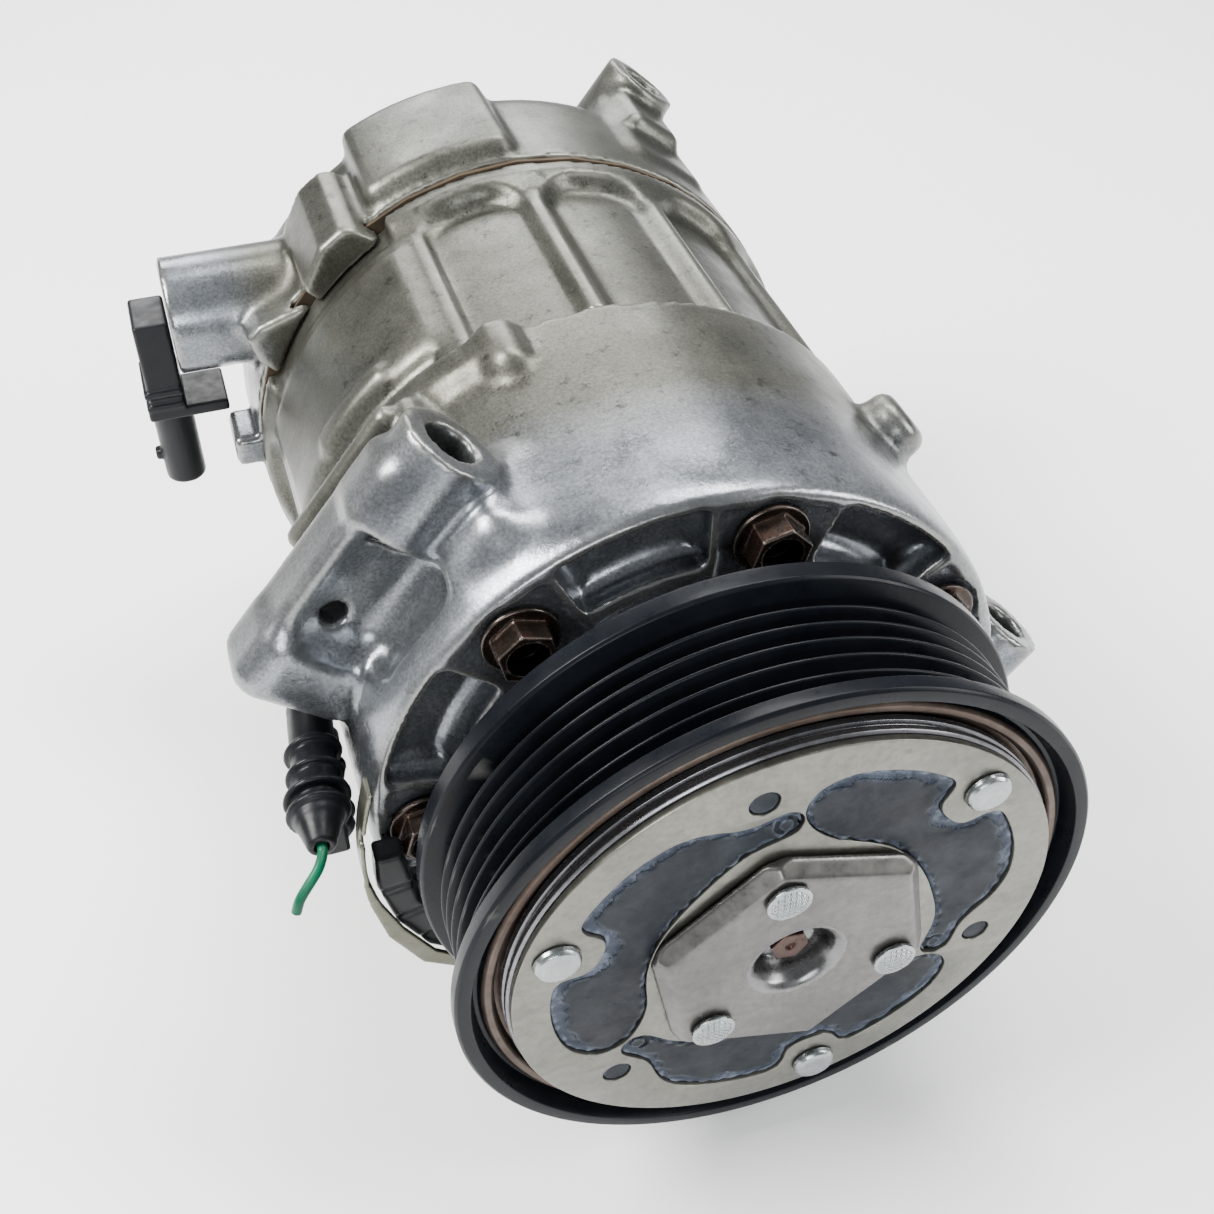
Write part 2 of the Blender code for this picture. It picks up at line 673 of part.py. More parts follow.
# Plates between the block and the head.
def plate_with_holes(name, radius, low, high, finish, rings, segments=24):
    body = add(name, turned([(0.0, low), (radius, low), (radius, high), (0.0, high)], segments), finish)
    cut(body, bolt_holes(low - 2, high + 2), "bolt_holes")
    for label, hole_radius, circle, offset, sides in rings:
        def port(angle):
            return rod(hole_radius, low - 2, high + 2, sides, Matrix.Translation(spoke(angle, circle)))

        cut(body, ring_of(port, CYLINDERS, BOLT_ANGLE + STEP / 2 + offset, STEP), label)
    return body


# Electrical pieces and trim.
def control_valve_parts(steel, plastic):
    boss = frame_of((0, 1, 0), (-1, 0, 0), (0, 0, 1), (0.0, VALVE_Y, VALVE_Z))
    outline = [
        (0.0, 46.0), (5.5, 46.0), (5.5, 52.0), (8.5, 52.5), (8.5, 73.0), (6.0, 73.0), (6.0, 74.9),
        (0.0, 74.9),
    ]
    add("control_valve", turned(outline, 16, boss), steel)
    x = VALVE_BOSS_END_X - GAP
    body = add("control_valve_connector", box((x - 8.2, 163.5, 9.0), (x, 176.5, 31.0)), plastic)
    join(body, box((x - 9.0, 162.5, 6.5), (x + 9.5, 177.5, 10.5)), "collar")
    down = frame_of((1, 0, 0), (0, 0, -1), (0, 1, 0), (x - 3.0, 170.0, 0.0))
    join(body, rod(4.4, -8.0, 13.0, 16, down), "socket")
    cut(body, rod(3.1, 2.0, 20.0, 12, down), "socket_hollow")


def relief_valve(finish):
    centre = spoke(RELIEF_ANGLE, RELIEF_RADIUS)
    end = HEAD_END_Y
    outline = [
        (0.0, end - 9.5), (3.9, end - 9.5), (3.9, end + GAP), (6.5, end + GAP), (6.5, end + 5.0),
        (0.0, end + 5.0),
    ]
    add("relief_valve", turned(outline, 6, Matrix.Translation(centre)), finish, centre)


def coil_connector(finish):
    """A round ribbed body along the shaft beside the pulley, with a slim neck in front and a flat tongue
    below."""
    x, z = CONNECTOR_AXIS
    profile = [
        (0.0, 34.5), (3.2, 34.5), (3.2, 40.0), (5.6, 40.6), (5.6, 43.0), (4.9, 43.6), (4.9, 45.6),
        (5.9, 46.2),
    ]
    profile += [(5.9, 49.6), (5.2, 50.2), (5.6, 68.0), (0.0, 68.0)]
    body = add("coil_connector", turned(profile, 14, shifted(x, 0.0, z)), finish)
    join(body, box((x - 1.6, 41.0, z - 10.0), (x + 3.6, 50.0, z - 3.0)), "tongue")
    cut(body, rod(WIRE_RADIUS + GAP, 30.0, 62.0, 10, shifted(x, 0.0, z)), "wire_hole")
    return body


def connector_bracket(finish):
    """A strip bent round the front of the housing past the connector, with a tab over the housing's
    face."""
    body = add("connector_bracket", sector(62.1, 63.1, 162, 216, 32.4, 40.2, 10), finish)
    join(body, sector(52.0, 62.6, 206, 216, 39.0, 40.2, 2), "tab")
    return body


def smooth_route(points, spacing):
    """Points a set distance apart on a Catmull-Rom curve through the route."""
    points = [Vector(point) for point in points]
    ends = [2 * points[0] - points[1]] + points + [2 * points[-1] - points[-2]]
    fine = []
    for a, b, c, d in zip(ends, ends[1:], ends[2:], ends[3:]):
        for i in range(12):
            t = i / 12
            fine.append(
                0.5 * (
                    2 * b + (c - a) * t + (
                        2 * a - 5 * b + 4 * c - d
                    ) * t**2 + (3 * b - a - 3 * c + d) * t**3
                )
            )
    fine.append(points[-1])
    route, walked = [fine[0]], 0.0
    for start, end in zip(fine, fine[1:]):
        walked += (end - start).length
        if walked >= spacing:
            route.append(end)
            walked = 0.0
    route[-1] = points[-1]
    return route


def wire(name, points, diameter, finish):
    curve = bpy.data.curves.new(name, "CURVE")
    curve.dimensions = "3D"
    curve.bevel_depth = diameter / 2 * MM
    curve.bevel_resolution = 2
    curve.use_fill_caps = True
    route = smooth_route(points, 2.6 * diameter)
    spline = curve.splines.new("POLY")
    spline.points.add(len(route) - 1)
    for point, place in zip(spline.points, route):
        point.co = (*(place * MM), 1.0)
    curve.materials.append(finish)
    made = bpy.data.objects.new(name, curve)
    bpy.context.collection.objects.link(made)


def coil_wire(finish):
    """The wire out of the connector's neck, cut short beyond it."""
    x, z = CONNECTOR_AXIS
    route = [(x, 60.0, z), (x, 48.0, z), (x, 36.0, z), (x - 0.2, 33.6, z), (x - 1.4, 31.0, z - 0.6)]
    route += [(x - 3.4, 29.0, z - 2.2), (x - 5.2, 27.8, z - 4.6), (x - 6.2, 27.4, z - 7.2)]
    wire("coil_wire", route, 2 * WIRE_RADIUS, finish)


def build():
    for old in list(bpy.data.objects):
        bpy.data.objects.remove(old)
    aluminium = material("cast_aluminium", (0.52, 0.51, 0.47), 0.42, 0.85)
    machined = material("machined_aluminium", (0.70, 0.69, 0.66), 0.30, 0.9)
    black_paint = material("black_paint", (0.02, 0.024, 0.03), 0.35, 0.2)
    plate_steel = material("phosphated_steel", (0.40, 0.39, 0.35), 0.5, 0.7)
    bright_steel = material("bright_steel", (0.62, 0.63, 0.64), 0.28, 0.95)
    zinc = material("zinc_plate", (0.66, 0.70, 0.70), 0.3, 0.9)
    bolt_steel = material("dark_bolt_steel", (0.13, 0.09, 0.075), 0.38, 0.7)
    bronze = material("brown_bolt", (0.32, 0.20, 0.16), 0.4, 0.6)
    rubber = material("slate_rubber", (0.09, 0.105, 0.13), 0.6, 0.0)
    plastic = material("black_plastic", (0.015, 0.017, 0.022), 0.45, 0.0)
    copper = material("varnished_copper", (0.5, 0.2, 0.08), 0.4, 0.8)
    gasket = material("brown_gasket", (0.16, 0.12, 0.07), 0.8, 0.0)
    pale_zinc = material("pale_yellow_zinc", (0.60, 0.58, 0.46), 0.35, 0.85)
    green = material("green_insulation", (0.02, 0.32, 0.18), 0.5, 0.0)

    front_housing(aluminium)
    centre_housing(aluminium)
    rear_head(aluminium)
    for index in range(CYLINDERS):
        housing_bolt(index, bolt_steel)

    seam = REAR_SEAM_Y + GAP
    ports = (
        ("discharge_ports", 3.2, PITCH_RADIUS - 16.0, 0.0, 6), ("suction_ports", 3.2, PITCH_RADIUS, 0.0, 6)
    )
    plate_with_holes("suction_reed_plate", 56.0, seam, seam + 0.3, bright_steel, ports[:1])
    plate_with_holes("valve_plate", 56.0, seam + 0.6, seam + 3.0, plate_steel, ports)
    plate_with_holes("discharge_reed_plate", 56.0, seam + 3.3, seam + 3.7, bright_steel, ports[1:])
    sleeve("head_gasket", 56.8, 61.2, seam, seam + 1.0, gasket, 32)

    coil_parts(bright_steel, copper)
    sleeve("bearing_inner_race", 17.8, 19.9, 8.6, 28.6, bright_steel)
    sleeve("shaft_seal", 8.3, 12.1, 25.0, 37.0, rubber, 20)
    sleeve("front_shaft_bearing", 8.3, 14.0, 44.4, 57.6, bright_steel, 20)
    sleeve("rear_shaft_bearing", 8.3, 12.2, BLOCK_Y + 7.0, BLOCK_Y + 21.0, bright_steel, 20)
    rail = Matrix.Translation(spoke(TILT_ANGLE, 41.5))
    add("guide_rail", rod(2.4, 58.4, BLOCK_Y - GAP, 12, rail), bright_steel, spoke(TILT_ANGLE, 41.5))
    control_valve_parts(bright_steel, plastic)
    relief_valve(bright_steel)
    coil_connector(plastic)
    connector_bracket(pale_zinc)
    coil_wire(green)

    pulley_axis = pivot("pulley_axis", (0.0, 0.0, 0.0))
    pulley(black_paint, pulley_axis)
    sleeve("bearing_outer_race", 22.8, 25.0, 8.6, 28.0, bright_steel, 24, pulley_axis)

    shaft_axis = pivot("shaft_axis", (0.0, 0.0, 0.0))
    shaft(bright_steel, shaft_axis)
    clutch_bolt(bronze, shaft_axis)
    clutch_hub(plate_steel, shaft_axis)
    drive_lug_plate(plate_steel, shaft_axis)
    pivot_sleeve(bright_steel, shaft_axis)
    for i in range(3):
        turn = HUB_ANGLE + 120.0 * i
        rivet(
            f"hub_rivet_{i + 1}", HUB_RIVET_RADIUS, turn, (-7.3, -5.8), 3.6, 2.2, (0.4, 1.6), zinc,
            shaft_axis,
        )

    armature_slide = pivot("armature_slide", (0.0, 0.0, 0.0))
    drive_plate(plate_steel, armature_slide)
    damper_rubber(rubber, armature_slide)
    armature_plate(bright_steel, armature_slide)
    for i in range(3):
        turn = WINDOW_ANGLE + 120.0 * i
        rivet(
            f"armature_rivet_{i + 1}",
            PLATE_RIVET_RADIUS,
            turn,
            (-3.9, -2.1),
            3.7,
            2.2,
            (2.9, 2.9),
            zinc,
            armature_slide,
        )

    wobble_pivot = pivot("wobble_pivot", (0.0, WOBBLE_Y, 0.0))
    wobble_plate(machined, wobble_pivot)
    journal(plate_steel, wobble_pivot)
    for index in range(CYLINDERS):
        line = pivot(f"piston_{index + 1}_line", spoke(BOLT_ANGLE + STEP * (index + 0.5), PITCH_RADIUS))
        piston(index, machined, line)
        connecting_rod(index, bright_steel, line)


build()
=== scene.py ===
"""Looks of a car's air-conditioning compressor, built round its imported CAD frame.

The frame is +Y along the shaft from the pulley to the rear head and +Z up, with the origin on the shaft
axis in the plane of the pulley's front flange. Lengths are in millimetres until a mesh is made, and angles
are in degrees round the shaft, from +X towards +Z.
"""

import json
import math

import bmesh
import bpy
import numpy as np
from mathutils import Matrix, Vector


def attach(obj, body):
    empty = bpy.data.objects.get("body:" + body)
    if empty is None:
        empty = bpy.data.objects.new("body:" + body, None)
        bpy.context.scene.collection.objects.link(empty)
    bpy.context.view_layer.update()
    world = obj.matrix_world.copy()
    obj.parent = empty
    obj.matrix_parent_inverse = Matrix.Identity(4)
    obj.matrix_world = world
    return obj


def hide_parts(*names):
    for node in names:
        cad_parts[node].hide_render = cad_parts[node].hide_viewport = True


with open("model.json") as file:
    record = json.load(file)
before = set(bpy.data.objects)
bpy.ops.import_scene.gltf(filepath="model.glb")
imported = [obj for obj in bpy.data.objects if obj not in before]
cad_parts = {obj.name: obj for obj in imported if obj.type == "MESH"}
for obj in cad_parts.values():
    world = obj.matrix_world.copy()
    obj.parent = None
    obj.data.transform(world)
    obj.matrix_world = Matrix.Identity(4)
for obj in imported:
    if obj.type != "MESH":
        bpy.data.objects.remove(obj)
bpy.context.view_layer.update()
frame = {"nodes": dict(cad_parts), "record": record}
MM = 0.001
GAP = 0.3

BODY_RADIUS = 60.0
FRONT_FACE_Y = 40.5
FRONT_SEAM_Y = 98.0
BLOCK_Y = 118.0
REAR_SEAM_Y = 153.2
HEAD_END_Y = 189.5
HEAD_RADIUS = 61.5
CRANKCASE_RADIUS = 54.3

CYLINDERS = 7
STEP = 360.0 / CYLINDERS
BOLT_ANGLE = 77.7
BOLT_CIRCLE = 50.0
PITCH_RADIUS = 37.0
BORE_RADIUS = 14.9

HUB_ANGLE = 100.5
WINDOW_ANGLE = 41.5
HUB_RIVET_RADIUS = 18.6
PLATE_RIVET_RADIUS = 41.0
PLATE_HOLE_RADIUS = 38.3
DRIVE_PLATE_RADIUS = 46.5
DRIVE_PLATE_Y = -1.8
HUB_FACE_Y = -5.5

EAR_ANGLE = 51.1
EAR_HOLE = 4.8
EAR_RADIUS = 8.8
FRONT_EAR_Y = 63.0
LEFT_EAR_OFFSET = 67.2
RIGHT_EAR_OFFSET = -65.5
REAR_EAR_Y = 194.4
REAR_EAR_OFFSET = 2.5

VALVE_Y = 170.0
VALVE_Z = 29.0
VALVE_BOSS_END_X = -75.0
CONNECTOR_AXIS = (-67.0, 7.0)

SUCTION_PORT = (205.0, 36.0, 7.5)
DISCHARGE_PORT = (180.0, 10.0, 6.0)
RELIEF_PORT = (300.0, 15.0, 4.2)

BOLT_HOLE = 3.35
GROOVES = 6
GROOVE_PITCH = 3.56
FIRST_GROOVE_Y = 5.62
DRIVE_PLATE_THICKNESS = 1.3
WIRE_RADIUS = 0.9
THIRD = 120.0

# What a casting's grid holds before any shape is added, in millimetres outside.
FAR_OUTSIDE = 8.0

FLOOR_Z = -0.0625
CAMERA_LENS = 44.8
CAMERA_PLACE = (-71.5, -126.6, 207.4)
CAMERA_RIGHT = (0.951, -0.309, 0.0)
CAMERA_DOWN = (-0.212, -0.652, -0.728)
CAMERA_AHEAD = (0.225, 0.692, -0.686)


def spoke(angle, radius=1.0, y=0.0):
    """The point at this angle and radius round the shaft."""
    turn = math.radians(angle)
    return Vector((radius * math.cos(turn), y, radius * math.sin(turn)))


# Solids on a grid of signed distances, for castings with filleted corners.
def polygon_distance(px, py, outline):
    """Signed distance from points to a closed outline, negative inside."""
    points = np.array(outline, np.float32)
    nearest = np.full(np.broadcast(px, py).shape, 1e12, np.float32)
    inside = np.zeros(nearest.shape, bool)
    for (ax, ay), (bx, by) in zip(points, np.roll(points, -1, 0)):
        ex, ey = bx - ax, by - ay
        wx, wy = px - ax, py - ay
        share = np.clip((wx * ex + wy * ey) / max(ex * ex + ey * ey, 1e-9), 0, 1)
        nearest = np.minimum(nearest, (wx - ex * share) ** 2 + (wy - ey * share) ** 2)
        if by != ay:
            crosses = (ay > py) != (by > py)
            inside ^= crosses & (px < ex * (py - ay) / ey + ax)
    distance = np.sqrt(nearest)
    return np.where(inside, -distance, distance)


def rounded(edge, *parts):
    """The distance to a box-like solid from its distances along each direction, with rounded edges."""
    outside, deepest = 0.0, None
    for part in parts:
        moved = part + edge
        outside = outside + np.maximum(moved, 0) ** 2
        deepest = moved if deepest is None else np.maximum(deepest, moved)
    return np.sqrt(outside) + np.minimum(deepest, 0) - edge


def between(value, low, high):
    return np.abs(value - (low + high) / 2) - (high - low) / 2


def folded(x, z, first, step):
    """The angle in degrees from the nearest of the directions that repeat every step from first."""
    return (np.degrees(np.arctan2(z, x)) - first + step / 2) % step - step / 2


def hexagon_reach(x, z, first):
    """How far out a point is, square to the nearest flat of a hexagon with a flat at this angle."""
    return np.hypot(x, z) * np.cos(np.radians(folded(x, z, first, 60.0)))


def block(xs, ys, zs, edge):
    """A rounded box given by (low, high) along each axis."""
    return lambda x, y, z: rounded(edge, between(x, *xs), between(y, *ys), between(z, *zs))


class Casting:
    """A solid built on a grid by adding and cutting shapes, each given as a function of x, y and z."""

    def __init__(self, low, high, pitch):
        self.pitch = pitch
        self.axes = [np.arange(a, b + pitch, pitch, dtype=np.float32) for a, b in zip(low, high)]
        self.value = np.full([len(axis) for axis in self.axes], FAR_OUTSIDE, np.float32)

    def _part(self, low, high):
        slices, lines = [], []
        for k, axis in enumerate(self.axes):
            first = 0 if low is None else int(np.searchsorted(axis, low[k]))
            last = len(axis) if high is None else int(np.searchsorted(axis, high[k], side="right"))
            slices.append(slice(first, max(last, first)))
            shape = [1, 1, 1]
            shape[k] = -1
            lines.append(axis[slices[-1]].reshape(shape))
        return tuple(slices), lines

    def add(self, shape, soft=1.0, low=None, high=None):
        where, lines = self._part(low, high)
        if min(self.value[where].shape) == 0:
            return
        self.value[where] = self._least(self.value[where], shape(*lines), soft)

    def cut(self, shape, soft=0.6, low=None, high=None):
        where, lines = self._part(low, high)
        if min(self.value[where].shape) == 0:
            return
        self.value[where] = -self._least(-self.value[where], shape(*lines), soft)

    @staticmethod
    def _least(a, b, soft):
        if soft <= 0:
            return np.minimum(a, b)
        share = np.clip(0.5 + 0.5 * (b - a) / soft, 0, 1)
        return b * (1 - share) + a * share - soft * share * (1 - share)

    def surface(self):
        """(vertices in millimetres, quads) of the solid's skin, by surface nets."""
        value = np.pad(self.value, 1, constant_values=FAR_OUTSIDE)
        origin = np.array([axis[0] - self.pitch for axis in self.axes])
        inside = value < 0
        size = np.array(value.shape) - 1

        def corner(array, d):
            return array[tuple(slice(first, first + extent) for first, extent in zip(d, size))]

        corners = [(i, j, k) for i in (0, 1) for j in (0, 1) for k in (0, 1)]
        count = sum(corner(inside, d).astype(np.uint8) for d in corners)
        cells = np.argwhere((count > 0) & (count < 8))
        number = np.full(size, -1, np.int32)
        number[tuple(cells.T)] = np.arange(len(cells))
        total = np.zeros((len(cells), 3), np.float32)
        hits = np.zeros(len(cells), np.float32)
        for d in corners:
            for axis in range(3):
                if d[axis]:
                    continue
                e = list(d)
                e[axis] = 1
                a = value[tuple((cells + d).T)]
                b = value[tuple((cells + e).T)]
                cross = (a < 0) != (b < 0)
                share = np.where(cross, a / np.where(cross, a - b, 1), 0)
                point = np.repeat(np.array(d, np.float32)[None], len(cells), 0)
                point[:, axis] = share
                total += np.where(cross[:, None], point, 0)
                hits += cross
        vertices = (cells + total / hits[:, None]) * self.pitch + origin
        quads = []
        for axis in range(3):
            u, v = (axis + 1) % 3, (axis + 2) % 3
            low = [slice(1, -1)] * 3
            low[axis] = slice(0, -1)
            high = list(low)
            high[axis] = slice(1, None)
            first, second = inside[tuple(low)], inside[tuple(high)]
            edges = np.argwhere(first != second)
            facing = first[tuple(edges.T)]
            edges[:, u] += 1
            edges[:, v] += 1
            around = []
            for du, dv in ((1, 1), (0, 1), (0, 0), (1, 0)):
                cell = edges.copy()
                cell[:, u] -= du
                cell[:, v] -= dv
                around.append(number[tuple(cell.T)])
            ring = np.stack(around, 1)
            quads.append(np.where(facing[:, None], ring, ring[:, ::-1]))
        return vertices, np.concatenate(quads)


def revolved(outline, spacing=0.25):
    """A shape turned round the shaft axis from a closed outline of (radius, y)."""

    def shape(x, y, z):
        radius = np.hypot(x, z)
        ring = np.arange(0, float(radius.max()) + 2 * spacing, spacing, dtype=np.float32)
        table = polygon_distance(ring[:, None], y.reshape(1, -1), outline)
        place = radius[:, 0, :] / spacing
        first = np.minimum(place.astype(np.int32), len(ring) - 2)
        share = (place - first)[..., None]
        return np.moveaxis(table[first] * (1 - share) + table[first + 1] * share, 2, 1)

    return shape


def tube(inner, outer, low, high):
    """A plain ring round the shaft, or a disc where inner is 0."""
    return revolved([(inner, low), (outer, low), (outer, high), (inner, high)])


def drawn(outline, low, high, edge=0.5):
    """A closed outline of (x, z) drawn along the shaft from low to high."""
    return lambda x, y, z: rounded(edge, polygon_distance(x, z, outline), between(y, low, high))


def along_ears(x, z):
    """How far along a mounting bolt, and how far across it, a point is."""
    n, m = spoke(EAR_ANGLE), spoke(EAR_ANGLE + 90)
    return x * n.x + z * n.z, x * m.x + z * m.z


def ear_point(across, along):
    """The point this far across and along a mounting bolt, square to the shaft."""
    return spoke(EAR_ANGLE + 90, across) + spoke(EAR_ANGLE, along)


def ear_rod(offset, ear_y, radius, low, high, edge=0.4):
    def shape(x, y, z):
        along, across = along_ears(x, z)
        return rounded(edge, np.hypot(across - offset, y - ear_y) - radius, between(along, low, high))

    return shape


def ear_block(across, along, ys, edge=2.0):
    """A rounded box given by (low, high) across the bolt, along the bolt and along the shaft."""

    def shape(x, y, z):
        n, m = along_ears(x, z)
        return rounded(edge, between(m, *across), between(n, *along), between(y, *ys))

    return shape


def spoke_block(angle, radii, width, ys, edge=1.5):
    """A rounded box standing out from the shaft at an angle: (low, high) radii, its width and (low, high)
    y."""
    out, side = spoke(angle), spoke(angle + 90)

    def shape(x, y, z):
        reach, across = x * out.x + z * out.z, x * side.x + z * side.z
        return rounded(edge, between(reach, *radii), np.abs(across) - width / 2, between(y, *ys))

    return shape


def spoke_rod(angle, centre_y, radius, low, high, edge=1.0):
    out, side = spoke(angle), spoke(angle + 90)

    def shape(x, y, z):
        reach, across = x * out.x + z * out.z, x * side.x + z * side.z
        return rounded(edge, np.hypot(across, y - centre_y) - radius, between(reach, low, high))

    return shape


def ring_block(first, step, radii, half_angle, ys, edge=1.5):
    """Curved blocks repeated round the shaft, each half_angle either side of its middle angle."""

    def shape(x, y, z):
        radius = np.hypot(x, z)
        across = (np.abs(folded(x, z, first, step)) - half_angle) * radius * math.pi / 180
        return rounded(edge, between(radius, *radii), across, between(y, *ys))

    return shape


def shaft_rod(angle, circle, radius, low, high, edge=0.3):
    """A round bar along the shaft's direction, standing at an angle and circle round it."""
    centre = spoke(angle, circle)
    return lambda x, y, z: rounded(
        edge, np.hypot(x - centre.x, z - centre.z) - radius, between(y, low, high)
    )


def ring_rods(first, step, circle, radius, low, high, edge=0.3):
    """Round bars along the shaft's direction, repeated round it."""

    def shape(x, y, z):
        turn = np.radians(folded(x, z, first, step))
        reach = np.hypot(x, z)
        across = np.hypot(reach * np.cos(turn) - circle, reach * np.sin(turn))
        return rounded(edge, across - radius, between(y, low, high))

    return shape


# Meshes.
def linked(name, data):
    """A new object in the scene that holds this data."""
    made = bpy.data.objects.new(name, data)
    bpy.context.collection.objects.link(made)
    return made


def mesh_object(name, vertices, faces, finish, body, sharp=None):
    """An object from points in millimetres, riding on a CAD body."""
    mesh = bpy.data.meshes.new(name)
    vertices = np.asarray(vertices, np.float32) * MM
    if isinstance(faces, np.ndarray):
        mesh.vertices.add(len(vertices))
        mesh.vertices.foreach_set("co", vertices.ravel())
        mesh.loops.add(faces.size)
        mesh.loops.foreach_set("vertex_index", faces.ravel().astype(np.int32))
        mesh.polygons.add(len(faces))
        mesh.polygons.foreach_set("loop_start", np.arange(len(faces), dtype=np.int32) * faces.shape[1])
        mesh.update(calc_edges=True)
    else:
        mesh.from_pydata([tuple(v) for v in vertices.tolist()], [], faces)
    mesh.validate()
    made = linked(name, mesh)
    mesh.materials.append(finish)
    mesh.shade_smooth()
    if sharp:
        mesh.set_sharp_from_angle(angle=math.radians(sharp))
    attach(made, body)
    return made


def cast_object(name, casting, finish, body, slot, *nodes):
    vertices, quads = casting.surface()
    made = mesh_object(name, vertices, quads, finish, body)
    if nodes:
        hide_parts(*nodes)
    return made


def finish_faces(made, finish, chosen):
    """Give another finish to the faces whose centres, in millimetres, are chosen."""
    made.data.materials.append(finish)
    index = len(made.data.materials) - 1
    for polygon in made.data.polygons:
        if chosen(*(polygon.center / MM)):
            polygon.material_index = index


def turned(outline, segments=128, centre=(0.0, 0.0, 0.0), axis=(0.0, 1.0, 0.0)):
    """(vertices, faces) of a closed outline of (radius, height) turned about an axis."""
    turn = Vector((0.0, 1.0, 0.0)).rotation_difference(Vector(axis)).to_matrix()
    vertices, rings = [], []
    for radius, height in outline:
        count = segments if radius > 1e-6 else 1
        rings.append((len(vertices), count))
        for i in range(count):
            vertices.append(turn @ spoke(360.0 * i / segments, radius, height) + Vector(centre))
    faces = []
    for (first, many), (second, more) in zip(rings, rings[1:] + rings[:1]):
        if many == 1 and more == 1:
            continue
        for i in range(segments):
            j = (i + 1) % segments
            ring = [first + i % many, second + i % more, second + j % more, first + j % many]
            faces.append(tuple(dict.fromkeys(ring)))
    return vertices, faces


def softened(outline, radius=0.25, steps=3):
    """The closed outline with each corner cut to a short arc."""
    made = []
    points = [Vector(point) for point in outline]
    for before, here, after in zip(points[-1:] + points[:-1], points, points[1:] + points[:1]):
        if here.x <= 1e-6:
            made.append(tuple(here))
            continue
        back, ahead = before - here, after - here
        reach = min(radius, back.length * 0.45, ahead.length * 0.45)
        start, end = here + back.normalized() * reach, here + ahead.normalized() * reach
        for i in range(steps + 1):
            t = i / steps
            made.append(tuple(start * (1 - t) ** 2 + here * 2 * t * (1 - t) + end * t**2))
    return made


def turned_object(
    name, outline, finish, body, nodes=(), segments=128, centre=(0, 0, 0), axis=(0, 1, 0), soft=0.25
):
    vertices, faces = turned(softened(outline, soft) if soft else outline, segments, centre, axis)
    made = mesh_object(name, vertices, faces, finish, body, sharp=40)
    fix_normals(made)
    if nodes:
        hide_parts(*nodes)
    return made


def fix_normals(made):
    bm = bmesh.new()
    bm.from_mesh(made.data)
    bmesh.ops.recalc_face_normals(bm, faces=bm.faces)
    bm.to_mesh(made.data)
    bm.free()


def catmull_rom(a, b, c, d, t):
    """The point at share t of the way from b to c, on the curve through a, b, c and d."""
    straight = 2 * b + (c - a) * t
    return 0.5 * (straight + (2 * a - 5 * b + 4 * c - d) * t**2 + (3 * b - a - 3 * c + d) * t**3)


def smooth_loop(points, steps=6):
    """A closed Catmull-Rom curve through 2-D points."""
    points = [Vector(point) for point in points]
    count, made = len(points), []
    for i in range(count):
        a, b, c, d = (points[(i + k) % count] for k in (-1, 0, 1, 2))
        for s in range(steps):
            made.append(catmull_rom(a, b, c, d, s / steps))
    return [tuple(point) for point in made]


def circle(radius, centre=(0.0, 0.0), count=48):
    return [
        (
            centre[0] + radius * math.cos(2 * math.pi * i / count),
            centre[1] + radius * math.sin(2 * math.pi * i / count),
        )
        for i in range(count)
    ]


def plate_object(name, loops, low, high, bevel, finish, body, nodes=()):
    """A flat plate square to the shaft, from its outer loop and holes of (x, z) points, with rounded
    edges."""
    curve = bpy.data.curves.new(name, "CURVE")
    curve.dimensions = "2D"
    curve.fill_mode = "BOTH"
    curve.extrude = ((high - low) / 2 - bevel) * MM
    curve.bevel_depth = bevel * MM
    curve.bevel_resolution = 2
    curve.offset = -bevel * MM
    for loop in loops:
        spline = curve.splines.new("POLY")
        spline.points.add(len(loop) - 1)
        spline.use_cyclic_u = True
        for point, (x, z) in zip(spline.points, loop):
            point.co = (x * MM, z * MM, 0.0, 1.0)
    holder = linked(name + "_curve", curve)
    evaluated = holder.evaluated_get(bpy.context.evaluated_depsgraph_get())
    mesh = bpy.data.meshes.new_from_object(evaluated)
    bpy.data.objects.remove(holder)
    mesh.transform(
        Matrix.Translation((0.0, (low + high) / 2 * MM, 0.0)) @ Matrix.Rotation(math.pi / 2, 4, "X")
    )
    mesh.name = name
    mesh.materials.clear()
    mesh.materials.append(finish)
    made = linked(name, mesh)
    bm = bmesh.new()
    bm.from_mesh(mesh)
    bmesh.ops.remove_doubles(bm, verts=bm.verts, dist=1e-6)
    bmesh.ops.recalc_face_normals(bm, faces=bm.faces)
    bm.to_mesh(mesh)
    bm.free()
    mesh.shade_smooth()
    mesh.set_sharp_from_angle(angle=math.radians(35))
    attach(made, body)
    if nodes:
        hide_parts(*nodes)
    return made


# Materials.
def scaled(colour, factor):
    return tuple(min(factor * c, 1.0) for c in colour)


